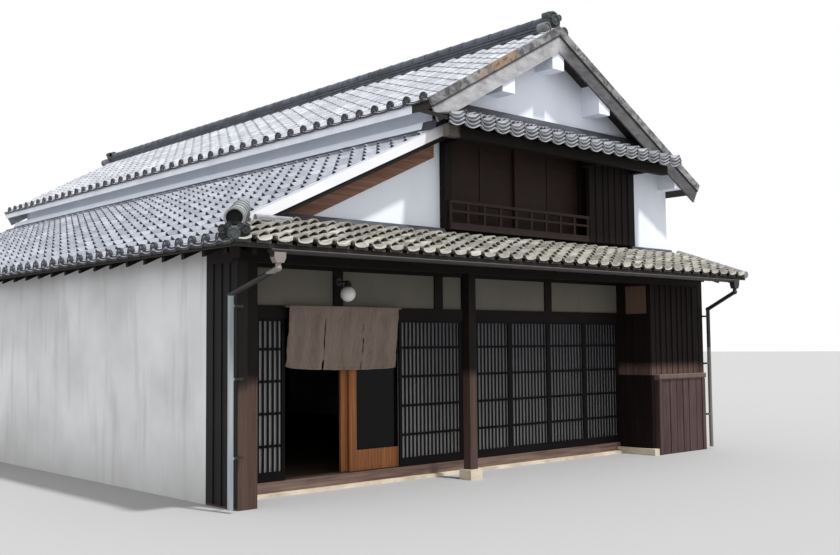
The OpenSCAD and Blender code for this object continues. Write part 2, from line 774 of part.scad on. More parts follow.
module clerestory_wall() color("white") placed()
    along_y(inner_y, inner_rear_y)
        polygon([[aisle_x, deck_z], [aisle_x + wall_t, deck_z], [aisle_x + wall_t, main_under(aisle_x + wall_t)],
            [aisle_x, main_under(aisle_x)]]);

// Beam under the aisle's upper wall
module aisle_beam() color("saddlebrown") placed()
    block([aisle_x, frame_back_y, beam_z], [aisle_x + wall_t, inner_rear_y, deck_z]);

module aisle_posts() color("saddlebrown") placed() {
    bays = 4;
    for (i = [1 : bays - 1]) {
        y = frame_back_y + i * (inner_rear_y - frame_back_y) / bays;
        block([aisle_x, y - wall_t / 2, floor_top], [aisle_x + wall_t, y + wall_t / 2, beam_z]);
    }
}

// Stepped flashings where the lower roofs meet the walls
module roof_flashings() color("darkslategray") placed() {
    along_y(low_front_y + band_t, low_rear_y - band_t) translate([aisle_x, 0])
        flash_outline(aisle_bed(aisle_x - aisle_flash[0]), aisle_bed(aisle_x), aisle_flash);
    difference() {
        along_x(hood_x, hood_x1) translate([wall_y, 0])
            flash_outline(hood_bed(wall_y - hood_flash[0]), hood_bed(wall_y), hood_flash);
        main_roof_space();
    }
    for (x = [[aisle_clear_x(front_bed(wall_y) + front_flash[2]), win_x], [win_x1, right_x]])
        along_x(x[0], x[1]) translate([wall_y, 0])
            flash_outline(front_bed(wall_y - front_flash[0]), front_bed(wall_y), front_flash);
}

module upper_floor() color("rosybrown") placed()
    block([aisle_x + wall_t, frame_back_y, deck_z - 60], [right_x - wall_t, inner_rear_y, deck_z]);

// Sill, posts and head of the upper window, on the wall below it
module window_bay_frame() color("saddlebrown") placed() {
    difference() {
        block([win_x, win_y, win_low_z], [win_x1, inner_y, win_top_z]);
        block([win_x + win_post, win_y - 1, win_sill_z],
            [win_x1 - win_post, inner_y + 1, win_top_z - win_head_h]);
    }
    block([win_x, wall_y, deck_z], [win_x1, inner_y, win_low_z + 1]);
    block([shutter_x, wall_y + 20, win_sill_z - 1],
        [shutter_x + win_post, inner_y, win_top_z - win_head_h + 1]);
}

// Sliding wooden panels of the upper window, closed, and the wall behind the shutter box
module window_panels() color("sienna") placed() {
    x0 = win_x + win_post;
    z1 = win_top_z - win_head_h;
    w = (shutter_x - x0) / win_panels;
    for (i = [0 : win_panels - 1]) {
        y = wall_y + panel_t + (i % 2) * (panel_t + 6);
        xa = x0 + i * w - (i > 0 ? panel_lap : 0);
        xb = x0 + (i + 1) * w + (i < win_panels - 1 ? panel_lap : 0);
        difference() {
            block([xa, y, win_sill_z], [xb, y + panel_t, z1]);
            block([xa + 55, y - 1, win_sill_z + 330], [xb - 55, y + 10, z1 - 70]);
            block([xa + 55, y - 1, win_sill_z + 70], [xb - 55, y + 10, win_sill_z + 275]);
        }
    }
    block([shutter_x + win_post, wall_y + panel_t, win_sill_z], [win_x1 - win_post, wall_y + 2 * panel_t, z1]);
}

// Railing along the window, as far as the shutter box
module window_railing() color("saddlebrown") placed() {
    x0 = win_x + rail_start;
    step = (shutter_x - x0 - rail_w) / (rail_posts - 1);
    block([x0, rail_y, win_low_z], [shutter_x, win_y, win_low_z + rail_band_h]);
    block([x0, rail_y + rail_lip / 2, rail_mid_z],
        [shutter_x, rail_y + rail_w - 2 * rail_lip, rail_mid_z + rail_mid_h]);
    block([x0, rail_y - rail_lip, rail_top_z],
        [shutter_x, rail_y + rail_w + rail_lip, rail_top_z + rail_top_h]);
    for (i = [0 : rail_posts - 1])
        block([x0 + i * step, rail_y + rail_lip, win_low_z + 1],
            [x0 + i * step + rail_w, rail_y + rail_w - rail_lip, rail_top_z + 1]);
    // Tie from the top rail back to the bay's end post
    block([x0, rail_y + rail_lip, rail_top_z + 2], [x0 + rail_w, win_y, rail_top_z + 2 + rail_tie_h]);
}

module shutter_box() color("maroon") placed()
    block([shutter_x, win_y - shutter_out, win_low_z], [win_x1, win_y, shutter_top_z]);

module window_pent_roof() color("dimgray") placed()
    difference() {
        along_x(hood_x, hood_x1) hood_strip(hood_eave_y, wall_y, 0, low_t);
        main_roof_space();
    }

// Beam near the window roof's eave, on arms out of the bay
module window_pent_beams() color("saddlebrown") placed() {
    z1 = hood_bed(beam_y) - low_t - hood_rafter_h;
    block([hood_x + beam_ends[0], beam_y, z1 - beam_h], [hood_x1 - beam_ends[1], beam_y + beam_d, z1]);
    for (arm = [[win_x + win_post / 2, win_y], [shutter_x - win_post / 2, win_y],
            [win_x1 - win_post / 2, win_y - shutter_out]])
        block([arm[0] - arm_w / 2, beam_y + beam_d - 1, z1 - beam_h + 10], [arm[0] + arm_w / 2, arm[1], z1 - 20]);
}

module upper_gable_wall() color("white") placed()
    along_y(wall_y, inner_y)
        polygon([[aisle_x, deck_z], [win_x, deck_z], [win_x, win_top_z], [win_x1, win_top_z],
            [win_x1, deck_z], [right_x, deck_z], [right_x, main_under(right_x)],
            [ridge_x, main_under(ridge_x)], [aisle_x, main_under(aisle_x)]]);

module main_roof_left() color("silver") placed()
    along_y(slab_front_y, slab_rear_y)
        polygon([[slab_left_x, main_bed(slab_left_x)], [slab_left_x, main_bed(slab_left_x) - main_t],
            [ridge_x, main_apex_z - main_t], [ridge_x, main_apex_z]]);

module main_roof_right() color("silver") placed()
    along_y(slab_front_y, slab_rear_y)
        polygon([[slab_right_x, main_bed(slab_right_x)], [ridge_x, main_apex_z],
            [ridge_x, main_apex_z - main_t], [slab_right_x, main_bed(slab_right_x) - main_t]]);

module main_ridge() color("darkslategray") placed()
    difference() {
        along_y(oni_y + oni_t, rear_oni_y) translate([ridge_x, main_apex_z])
            ridge_outline(ridge_w, ridge_h, ridge_w * main_pitch / 2);
        along_y(oni_y, rear_oni_y + 1) main_chevron(0, 600);
    }

module ridge_end_tiles() color("darkslategray") placed() {
    for (y = [oni_y, rear_oni_y])
        difference() {
            union() {
                along_y(y, y + oni_t) translate([ridge_x, main_apex_z]) oni_outline(oni_w, oni_h, oni_foot);
                translate([ridge_x, y - (y < wall_y ? oni_disc : 0), main_apex_z + oni_h - oni_w * 0.34])
                    rotate([-90, 0, 0]) cylinder(h = oni_t + oni_disc, r = oni_w * 0.2);
            }
            along_y(y - 100, y + 200) main_chevron(0, 600);
        }
    // The hip's end tile
    difference() {
        at_hip() translate([hip_end_off, 0, 0]) rotate([90, 0, 90]) linear_extrude(oni_t)
            oni_outline(hip_end_w, hip_end_h, hip_end_foot);
        under_hip();
    }
}

// Upper verge board over a deeper, thinner barge board, at both gables
module barge_boards() color("gray") placed() {
    along_y(main_front_y, slab_front_y) barge_chevron(verge_rise, verge_drop);
    along_y(slab_front_y - barge_t, slab_front_y) barge_chevron(-verge_drop + 1, barge_drop);
    along_y(slab_rear_y, main_rear_y) barge_chevron(verge_rise, verge_drop);
    along_y(slab_rear_y, slab_rear_y + barge_t) barge_chevron(-verge_drop + 1, barge_drop);
}

// Outline of a plastered purlin end around x, up to the main roof
module purlin_outline(x, low)
    polygon([[x - purlin_w / 2, low], [x + purlin_w / 2, low], [x + purlin_w / 2, main_under(x + purlin_w / 2)],
        [x, main_under(x)], [x - purlin_w / 2, main_under(x - purlin_w / 2)]]);

module purlin_ends() color("white") placed()
    for (y = [[slab_front_y, wall_y], [rear_y, slab_rear_y]])
        along_y(y[0], y[1]) {
            purlin_outline(ridge_x, main_apex_z - purlin_low);
            for (x = [ridge_x - side_purlin_x, ridge_x + side_purlin_x])
                purlin_outline(x, main_bed(x) - side_purlin_low);
            polygon([[right_x - plate_w, main_bed(right_x - plate_w) - plate_low],
                [right_x, main_bed(right_x - plate_w) - plate_low], [right_x, main_under(right_x)],
                [right_x - plate_w, main_under(right_x - plate_w)]]);
        }

module rear_wall() color("white") placed()
    difference() {
        along_y(inner_rear_y, rear_y)
            polygon([[left_x, 0], [right_x, 0], [right_x, main_under(right_x)],
                [ridge_x, main_under(ridge_x)], [aisle_x, main_under(aisle_x)],
                [aisle_x, aisle_under(aisle_x)], [left_x, aisle_under(left_x)]]);
        for (w = rear_windows)
            block([w[0], inner_rear_y - 1, w[1]], [w[0] + rear_win_w, rear_y + 1, w[1] + w[2]]);
    }

// Framed lattices that close the rear windows
module rear_lattices() color("black") placed()
    for (w = rear_windows) {
        x0 = w[0] + stile_w;
        x1 = w[0] + rear_win_w - stile_w;
        z0 = w[1] + stile_w;
        z1 = w[1] + w[2] - stile_w;
        bars = round((x1 - x0 + bar_w) / rear_bar_pitch) - 1;
        space = (x1 - x0 - bars * bar_w) / (bars + 1);
        y = rear_y - 60;
        difference() {
            block([w[0], y, w[1]], [w[0] + rear_win_w, y + lattice_t, w[1] + w[2]]);
            block([x0, y - 1, z0], [x1, y + lattice_t + 1, z1]);
        }
        for (i = [1 : bars])
            block([x0 + i * space + (i - 1) * bar_w, y + lattice_t - bar_d, z0 - 1],
                [x0 + i * space + i * bar_w, y + lattice_t, z1 + 1]);
        block([x0 - 1, y, (z0 + z1) / 2], [x1 + 1, y + lattice_t - bar_d + lap, (z0 + z1) / 2 + bar_w]);
    }

module rear_glass() color("slategray") placed()
    for (w = rear_windows)
        block([w[0], rear_y - 60 - glass_t, w[1]], [w[0] + rear_win_w, rear_y - 60, w[1] + w[2]]);

// One straight length of downpipe, with a rounded collar at its far end
module pipe(from, to) {
    run = to - from;
    translate(from) rotate([0, acos(run[2] / norm(run)), atan2(run[1], run[0])])
        cylinder(h = norm(run), d = pipe_d);
    translate(to) sphere(d = pipe_d + 12);
}

// Half-round gutter along the front eave, with its outlets, brackets, elbows and downpipes
module rain_gutters() color("dimgray") placed() {
    difference() {
        union() {
            along_x(gutter_ends[0], gutter_ends[1]) translate([gutter_y, gutter_z]) circle(r = gutter_r);
            for (x = outlet_xs)
                along_y(gutter_y - gutter_r + 5, gutter_y + gutter_r - 5)
                    polygon([[x - outlet_w, gutter_z], [x + outlet_w, gutter_z],
                        [x + outlet_w, gutter_z - outlet_w], [x + outlet_foot, gutter_z - outlet_drop],
                        [x - outlet_foot, gutter_z - outlet_drop], [x - outlet_w, gutter_z - outlet_w]]);
        }
        along_x(gutter_ends[0] + gutter_t, gutter_ends[1] - gutter_t) translate([gutter_y, gutter_z])
            circle(r = gutter_r - gutter_t);
        block([gutter_ends[0] - 1, gutter_y - gutter_r - 1, gutter_z],
            [gutter_ends[1] + 1, gutter_y + gutter_r + 1, gutter_z + gutter_r + 1]);
    }
    // Brackets across the trough, on every other rafter's end
    for (x = [left_post_x1 + rafter_w / 2 : 2 * rafter_pitch : right_x])
        block([x - 8, gutter_y - gutter_r + 1, gutter_z - gutter_t], [x + 8, front_eave_y + 45, gutter_z]);
    for (i = [0, 1]) {
        spout = [outlet_xs[i], gutter_y, gutter_z - outlet_drop + 1];
        bend = [outlet_xs[i], gutter_y, gutter_z - outlet_drop - 50];
        top = [pipe_xs[i], pipe_y, pipe_top_z];
        pipe(spout, bend);
        pipe(bend, top);
        translate([pipe_xs[i], pipe_y, pipe_foot]) cylinder(h = pipe_top_z - pipe_foot, d = pipe_d);
        // Straps back to the timbers
        side = i == 0 ? 1 : -1;
        wall_x = i == 0 ? left_x + strap_in : right_x - strap_in;
        for (z = strap_zs) {
            block([min(pipe_xs[i], wall_x - side * strap_in), pipe_y - strap_w / 2, z],
                [max(pipe_xs[i], wall_x + strap_in), pipe_y + strap_w / 2, z + strap_h]);
            block([wall_x - strap_in, pipe_y - strap_w / 2, z], [wall_x + strap_in, 0, z + strap_h]);
        }
    }
}

base_stones();
ground_floor();
front_posts();
eave_beam();
ground_sill();
front_wall_frame();
upper_floor_beam();
kokabe_wall();
left_wing_boards();
left_wall();
right_wall();
bay_side_walls();
bay_board_wall();
bay_apron();
lattice_left();
lattice_middle();
lattice_right();
lattice_glass();
entrance_door_outer();
entrance_door_inner();
outer_door_glass();
inner_door_glass();
noren_rod();
noren();
lamp_bracket();
lamp_globe();
front_pent_roof();
eave_rafters();
lean_to_roof();
hip_ridge();
lean_to_verge();
lean_to_beam();
lean_to_gable_wall();
clerestory_wall();
aisle_beam();
aisle_posts();
roof_flashings();
upper_floor();
window_bay_frame();
window_panels();
window_railing();
shutter_box();
window_pent_roof();
window_pent_beams();
upper_gable_wall();
main_roof_left();
main_roof_right();
main_ridge();
ridge_end_tiles();
barge_boards();
purlin_ends();
rear_wall();
rear_lattices();
rear_glass();
rain_gutters();
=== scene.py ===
import bpy, bmesh, math, random
from mathutils import Matrix, Vector


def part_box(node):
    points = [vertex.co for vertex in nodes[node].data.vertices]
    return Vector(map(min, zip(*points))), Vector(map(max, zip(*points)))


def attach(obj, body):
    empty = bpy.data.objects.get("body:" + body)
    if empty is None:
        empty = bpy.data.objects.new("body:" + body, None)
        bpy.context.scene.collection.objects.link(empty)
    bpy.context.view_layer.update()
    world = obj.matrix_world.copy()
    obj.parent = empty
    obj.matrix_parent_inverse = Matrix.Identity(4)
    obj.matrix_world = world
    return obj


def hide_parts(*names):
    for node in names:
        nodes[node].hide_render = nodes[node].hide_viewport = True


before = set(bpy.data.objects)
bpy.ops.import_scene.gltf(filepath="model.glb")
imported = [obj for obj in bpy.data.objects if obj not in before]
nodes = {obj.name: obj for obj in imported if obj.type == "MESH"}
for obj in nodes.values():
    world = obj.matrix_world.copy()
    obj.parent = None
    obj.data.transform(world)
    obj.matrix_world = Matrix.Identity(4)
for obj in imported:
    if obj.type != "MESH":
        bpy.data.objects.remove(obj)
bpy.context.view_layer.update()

scene = bpy.context.scene
upward = Vector((0, 0, 1))

house = {
    "ridgeX": 5.047, "apexZ": 5.8297, "mainPitch": 0.56, "mainLeft": 2.631, "mainRight": 8.3555,
    "mainFront": 0.284, "mainRear": 13.71,
    "sideEave": -0.565, "frontEave": -0.556, "cornerZ": 2.535, "sidePitch": 0.47, "frontPitch": 0.35,
    "sideFront": 0.344, "sideRear": 13.65, "aisleX": 2.995, "frontRight": 8.2355,
    "hoodLeft": 2.631, "hoodRight": 7.305, "hoodEave": -0.056, "hoodZ": 4.235, "hoodPitch": 0.36,
    "wallY": 0.594, "wallRight": 7.9375, "wallRear": 13.4,
}

# Pieces are made in metres from the first front post, as the house was set out, then carried to the frame
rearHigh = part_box("rear_wall")[1]
shift = Vector((rearHigh.x - house["wallRight"], rearHigh.y - house["wallRear"], 0))


def mainBed(x):  # the tile beds' heights: the main roof's over x
    return house["apexZ"] - house["mainPitch"] * abs(x - house["ridgeX"])


def sideBed(x):  # the aisle roof's over x
    return house["cornerZ"] + house["sidePitch"] * (x - house["sideEave"])


def frontBed(y):  # the front roof's over y
    return house["cornerZ"] + house["frontPitch"] * (y - house["frontEave"])


def hoodBed(y):  # and that of the small roof over the upper window
    return house["hoodZ"] + house["hoodPitch"] * (y - house["hoodEave"])


# Materials

finishes = {}


def shade(red, green, blue, level=0.57):  # a colour as it looks in the house's light, 0 to 255, made linear
    return tuple(level * (c / 12.92 if c <= 0.04045 else ((c + 0.055) / 1.055) ** 2.4)
                 for c in (red / 255, green / 255, blue / 255)) + (1.0,)


def lime(red, green, blue):  # a bare colour, for the white walls
    return shade(red, green, blue, 1)


class Wire:  # a socket that adds a Math node for every sum it stands in
    def __init__(self, socket):
        self.socket = socket

    def math(self, operation, other=0.0, swapped=False):
        made = self.socket.id_data.nodes.new("ShaderNodeMath")
        made.operation = operation
        for place, value in zip(made.inputs, (other, self) if swapped else (self, other)):
            plug(value, place)
        return Wire(made.outputs[0])

    def __add__(self, other): return self.math("ADD", other)
    def __radd__(self, other): return self.math("ADD", other, True)
    def __sub__(self, other): return self.math("SUBTRACT", other)
    def __rsub__(self, other): return self.math("SUBTRACT", other, True)
    def __mul__(self, other): return self.math("MULTIPLY", other)
    def __rmul__(self, other): return self.math("MULTIPLY", other, True)
    def __gt__(self, other): return self.math("GREATER_THAN", other)
    def __lt__(self, other): return self.math("LESS_THAN", other)


def plug(value, place):  # links a wire to a node's input, or sets the input to a number
    if isinstance(value, Wire):
        place.id_data.links.new(value.socket, place)
    else:
        place.default_value = value


class Finish:  # a material with the few kinds of node that the house's surfaces use
    def __init__(self, name):
        self.material = finishes[name] = bpy.data.materials.new(name)
        self.material.use_nodes = True
        self.tree = self.material.node_tree
        self.surface = self.tree.nodes["Principled BSDF"]
        self.place = self.node("ShaderNodeTexCoord", output="Object")

    def node(self, kind, settings={}, sockets={}, output=0):
        made = self.tree.nodes.new(kind)
        for key, value in settings.items():
            setattr(made, key, value)
        for key, value in sockets.items():
            plug(value, made.inputs[key])
        return Wire(made.outputs[output])

    def noise(self, scale, detail=2.0, stretch=(1, 1, 1), rough=0.5):
        spread = self.node("ShaderNodeVectorMath", {"operation": "MULTIPLY"}, {0: self.place, 1: stretch})
        return self.node("ShaderNodeTexNoise", {}, {"Vector": spread, "Scale": scale, "Detail": detail,
                                                    "Roughness": rough})

    def between(self, value, low, high):  # 0 under the low value, 1 over the high one
        return self.node("ShaderNodeMapRange", {"clamp": True}, {0: value, 1: low, 2: high, 3: 0.0, 4: 1.0})

    def mix(self, factor, first, second):  # three numbers are a colour as it looks
        first, second = (shade(*c) if isinstance(c, tuple) and len(c) == 3 else c for c in (first, second))
        return self.node("ShaderNodeMix", {"data_type": "RGBA"}, {0: factor, 6: first, 7: second}, 2)

    def stain(self, pattern, low, high, share, first, second):
        return self.mix(self.between(pattern, low, high) * share, first, second)

    def separate(self, vector):
        parts = self.node("ShaderNodeSeparateXYZ", {}, {0: vector}).socket.node
        return [Wire(socket) for socket in parts.outputs]

    def axes(self):  # the house's own measures, as the pieces are set out in
        return [part - move for part, move in zip(self.separate(self.place), shift)]

    def island(self):  # one number for each loose tile or board of a piece
        return self.node("ShaderNodeNewGeometry", output="Random Per Island")

    def dull(self, level):  # less sheen than the shader's own
        self.surface.inputs["Specular IOR Level"].default_value = level

    def done(self, colour, rough, height=None, depth=0.002, strength=0.6):
        plug(colour, self.surface.inputs["Base Color"])
        plug(rough, self.surface.inputs["Roughness"])
        if height is not None:
            relief = self.node("ShaderNodeBump", {}, {"Strength": strength, "Distance": depth, "Height": height})
            plug(relief, self.surface.inputs["Normal"])
        return self.material


def tileFinish(name, dark, light, stain, lichen, stained, specked, rough, loose=True):
    own = Finish(name)
    cloud = own.noise(7, 3)
    speck = own.noise(42, 3)
    drift = own.noise(0.9, 2)
    each = own.island() if loose else own.noise(3.1, 0)
    colour = own.mix(own.between(each * 0.7 + drift * 0.5, 0.1, 0.95), dark, light)
    colour = own.stain(cloud, 0.42, 0.72, stained, colour, stain)
    colour = own.stain(speck, 0.56, 0.68, specked, colour, lichen)
    grit = own.noise(160, 2)
    own.done(colour, own.between(cloud, 0.2, 0.9) * 0.25 + rough, grit + speck * 1.5, 0.0022, 0.5)


def grainOf(own, along=1.4, across=38, axis="x"):  # fibres drawn out along one axis
    return own.noise(1.0, 4, tuple(along if axis == each else across for each in "xyz"), 0.62)


def woodFinish(name, axis, dark, light, faded, gloss=0.25, across=38, rough=0.6, fade=0.35, loose=0, lying=None,
               wornAndSunlit=None, sunlitEnd=None):
    own = Finish(name)
    grain = grainOf(own, across=across, axis=axis)
    if lying:  # between these heights the timbers lie instead of standing
        height = own.axes()[2]
        lies = (height > lying[0]) * (height < lying[1])
        grain = grainOf(own, across=across) * lies + grain * (1 - lies)
    cloud = own.noise(2.6, 3)
    colour = own.mix(own.between(grain, 0.34, 0.68), dark, light)
    colour = own.stain(cloud, 0.45, 0.75, fade, colour, faded)
    if loose:
        colour = own.mix(own.island() * loose, colour, dark)
    if wornAndSunlit:  # painted sunlight: lighter between two heights, with a ragged upper end at the shadow's edge
        bottom, top, sunlitDark, sunlitLight, sunlitShare = wornAndSunlit
        height = own.axes()[2]
        ragged = height + own.noise(16, 2) * 0.05
        mask = (height > bottom) * (1 - own.between(ragged, top - 0.06, top + 0.06))
        colour = own.mix(mask * sunlitShare, colour, own.mix(own.between(grain, 0.3, 0.7), sunlitDark, sunlitLight))
    if sunlitEnd:  # painted sunlight on an end of a beam, left of the first of two places, where the sun gets under the small roof
        near = 1 - own.between(own.axes()[0] + own.noise(9, 2) * 0.06, *sunlitEnd[:2])
        colour = own.mix(near * 0.9, colour, sunlitEnd[2])
    own.dull(gloss)
    own.done(colour, own.between(grain, 0.2, 0.8) * 0.25 + rough, grain, 0.0025, 0.55)


def plasterFinish(name, plain, stain, clouded, runs, foot=None, warmReflection=None):
    own = Finish(name)
    cloud = own.noise(1.1, 3)
    run = own.noise(1.0, 3, (5.5, 5.5, 0.7))
    grit = own.noise(70, 3)
    colour = own.stain(cloud, 0.35, 0.75, clouded, plain, stain)
    colour = own.stain(run, 0.52, 0.78, runs, colour, stain)
    if foot:  # splashed and damp towards the ground
        damp = 1 - own.between(own.axes()[2] + own.noise(3, 3) * 0.35, 0.15, foot)
        colour = own.mix(damp * 0.6, colour, stain)
    if warmReflection:  # past this place the shaded wall is painted reddish brown, a painted warm reflection of light
        colour = own.mix(own.axes()[0] > warmReflection[0], colour, own.mix(cloud, *warmReflection[1:]))
    own.done(colour, 0.86, grit + cloud * 2.0, 0.0022, 0.45)


def stoneFinish(name, dark, light, specks):
    own = Finish(name)
    cloud = own.noise(3.4, 4)
    speck = own.noise(120, 2)
    colour = own.mix(own.between(cloud, 0.35, 0.7), dark, light)
    colour = own.stain(speck, 0.58, 0.7, 0.5, colour, specks)
    own.done(colour, 0.85, speck + cloud * 3.0, 0.003, 0.6)


limed = {"leftOf": 3.0, "behind": 0.6, "over": 4.2}  # where the aisle's upper edge is plastered


def metalFinish(name, plain, dust, dusty, rough, limedFrom=None):
    own = Finish(name)
    cloud = own.noise(4.5, 4)
    grit = own.noise(30, 3)
    colour = own.stain(cloud, 0.4, 0.7, dusty, plain, dust)
    if limedFrom:  # the flashing over the aisle is plastered above this height
        x, y, z = own.axes()
        over = own.between(z + cloud * 0.01, limedFrom, limedFrom + 0.006)
        mask = (x < limed["leftOf"]) * (y > limed["behind"]) * over
        colour = own.mix(mask, colour, lime(226, 233, 244))
    own.done(colour, own.between(grit, 0.3, 0.8) * 0.3 + rough, grit, 0.001, 0.3)


def paneFinish(name, near, far, shadeRightward, folds, low, high, rough, gloss):
    own = Finish(name)
    x, y, z = own.axes()
    smear = own.noise(2.2, 3, (1, 1, 0.5))
    curtain = own.noise(1.0, 3, (9, 9, 0.8))
    # lighter low down, a painted reflection of the street, darker higher up and to the right, painted shade; the
    # curtain streaks are painted shade in its folds
    colour = own.mix(own.between(z + smear * 0.5 + x * shadeRightward, low, high), near, far)
    colour = own.stain(curtain, 0.4, 0.7, folds, colour, far)
    own.dull(gloss)
    own.done(colour, own.between(smear, 0.3, 0.8) * 0.12 + rough, smear, 0.002, 0.12)


print("materials")
tileLooks = {  # dark, light, stain and lichen, then how much stain and lichen, the roughness, and if tiles are loose
    "silver_tile": ((142, 147, 160), (198, 202, 214), (118, 122, 134), (222, 224, 230), 0.5, 0.35, 0.42),
    # a paler copy of the silver tile for the main roof's left slope, the painted sheen of the sky seen at a grazing
    # angle
    "silver_tile_painted_sheen": ((186, 190, 200), (230, 233, 241), (158, 160, 166), (246, 247, 250), 0.7, 0.5, 0.55),
    "tan_tile": ((122, 119, 111), (226, 223, 211), (88, 86, 80), (244, 241, 228), 0.65, 0.6, 0.62),
    # darker and lighter copies of the tan tile: painted shade on the eave lip, painted highlight on lit front edges
    "tan_tile_shade": ((46, 44, 41), (84, 81, 76), (34, 33, 31), (140, 136, 126), 0.6, 0.4, 0.65),
    "tan_tile_lit_rim": ((186, 182, 168), (252, 249, 236), (150, 146, 134), (255, 253, 242), 0.5, 0.5, 0.62),
    "window_roof_tile": ((156, 159, 166), (212, 215, 222), (110, 112, 118), (224, 225, 226), 0.5, 0.4, 0.5),
    # a darker copy of the small roof's tile, painted shade on its lip
    "window_roof_tile_shade": ((88, 90, 96), (128, 130, 137), (60, 61, 66), (150, 151, 152), 0.5, 0.3, 0.6),
    # near black, painted shade on the eave tiles' discs and lips, which face away from the light
    "eave_disc": ((34, 37, 46), (66, 70, 80), (28, 30, 36), (100, 103, 106), 0.5, 0.3, 0.5),
    "ridge_tile": ((50, 56, 70), (96, 104, 122), (40, 44, 54), (126, 132, 142), 0.5, 0.3, 0.4),
    "ridge_body": ((62, 64, 72), (96, 98, 106), (44, 46, 52), (128, 128, 132), 0.5, 0.3, 0.5, False),
    "ridge_end_tile": ((52, 58, 62), (100, 107, 110), (40, 44, 46), (132, 140, 128), 0.6, 0.45, 0.5),
    "ridge_end_scroll": ((96, 99, 105), (150, 153, 158), (66, 68, 72), (176, 178, 176), 0.6, 0.4, 0.55),
    "hip_tile": ((132, 134, 138), (190, 192, 196), (84, 84, 86), (208, 208, 204), 0.5, 0.45, 0.5),
    "hip_dark_tile": ((26, 28, 32), (60, 64, 67), (20, 21, 24), (118, 122, 108), 0.5, 0.45, 0.6),
    # near black, painted shade in the hollow under the hip's end cap
    "hip_hollow_shade": ((10, 11, 13), (22, 23, 26), (8, 8, 9), (60, 64, 60), 0.5, 0.3, 0.8),
}
for name, look in tileLooks.items():
    tileFinish(name, *look)

# Where a timber turns lighter between two heights (posts, bay boards, the wing's edge board, the apron's cap), that
# is painted sunlight
darkTimber = {"dark": (20, 15, 14), "light": (38, 30, 27), "faded": (46, 37, 33), "gloss": 0.15}
bayWood = {"dark": (24, 16, 17), "light": (44, 30, 30), "faded": (54, 40, 39), "gloss": 0.12,
           "wornAndSunlit": (1.118, 1.27, (104, 78, 72), (140, 112, 104), 0.85)}
woodFinish("standing_timber", "z", **darkTimber, lying=(1.87, 2.01))
woodFinish("post_timber", "z", **darkTimber, wornAndSunlit=(-1, 1.26, (82, 62, 55), (112, 88, 80), 0.9))
woodFinish("lying_timber", "x", **darkTimber)
# the beam's left end is painted lighter, painted sunlight
woodFinish("hood_beam_timber", "x", **darkTimber, sunlitEnd=(2.93, 2.99, (128, 118, 112)))
woodFinish("rafter_timber", "y", **darkTimber)
woodFinish("sill_timber", "x", (112, 88, 79), (170, 142, 130), (190, 168, 154))
woodFinish("bay_boards", "z", **bayWood, loose=0.5)
woodFinish("bay_wall", "z", **bayWood)
woodFinish("shutter_boards", "z", (26, 19, 21), (42, 31, 32), (50, 38, 38), 0.12, loose=0.5)
woodFinish("apron_boards", "z", (66, 48, 46), (108, 84, 80), (120, 98, 95), loose=0.35,
           wornAndSunlit=(1.04, 2, (110, 90, 86), (140, 120, 116), 0.9))
woodFinish("apron_frame", "z", (52, 36, 34), (88, 66, 63), (102, 82, 79),
           wornAndSunlit=(1.05, 2, (110, 90, 86), (140, 120, 116), 0.9))
woodFinish("wing_boards", "z", (18, 17, 18), (40, 36, 36), (50, 46, 44), loose=0.5)
woodFinish("wing_body", "z", (26, 21, 20), (48, 40, 37), (54, 46, 42),
           wornAndSunlit=(-1, 1.2, (84, 62, 54), (112, 88, 78), 0.9))
woodFinish("lattice_wood", "z", (15, 12, 14), (30, 25, 27), (40, 35, 36), 0.12, fade=0.3)
woodFinish("door_wood", "z", (150, 88, 46), (204, 136, 82), (168, 102, 56), across=55, rough=0.45)
woodFinish("panel_wood", "x", (36, 23, 20), (58, 38, 33), (68, 47, 41))
woodFinish("rail_wood", "x", (38, 26, 24), (62, 44, 38), (74, 54, 46))
woodFinish("beam_wood", "x", (138, 96, 76), (190, 146, 124), (150, 118, 104))
woodFinish("floor_boards", "y", (84, 68, 54), (126, 106, 88), (110, 96, 82), across=24)
woodFinish("rod_wood", "x", (120, 96, 66), (164, 138, 100), (150, 128, 96))
# The white plaster's blue tint is a painted tint of skylight in shade
plasterFinish("white_plaster", lime(232, 237, 247), lime(208, 214, 227), 0.45, 0.3)
# The clerestory's plaster is painted brighter and bluer than the other white walls: painted bounce light off the
# aisle's tiles and painted skylight in its shade
plasterFinish("upper_plaster_lit", lime(242, 248, 255), lime(222, 230, 244), 0.4, 0.3)
plasterFinish("outer_plaster", lime(214, 215, 217), lime(160, 160, 160), 0.5, 0.5, foot=0.9)
plasterFinish("cream_plaster", (136, 131, 118), (104, 100, 89), 0.5, 0.3,
              warmReflection=(6.642, (118, 91, 76), (138, 108, 92)))
stoneFinish("kerb_stone", lime(176, 163, 143), lime(216, 204, 184), (120, 112, 100))
metalFinish("flashing_metal", (72, 76, 88), (112, 115, 124), 0.5, 0.45, limedFrom=4.205)
metalFinish("lamp_metal", (34, 34, 36), (80, 80, 80), 0.3, 0.4)
# Panes: how much painted shade darkens them to the right, the painted shade of curtain folds seen in them, the
# heights between which painted street reflection gives way to painted shade, roughness, gloss
paneFinish("lattice_pane", (236, 235, 232), (150, 152, 160), 0.12, 0.35, 0.7, 2.6, 0.35, 0.3)
# near black, the painted shade of the dark inside seen through the door's panes
paneFinish("door_pane", (16, 18, 22), (8, 9, 12), 0, 0.2, 0.3, 2.0, 0.06, 0.12)
paneFinish("opal_glass", lime(228, 228, 226), lime(222, 222, 220), 0, 0, 2.0, 2.3, 0.3, 0.5)


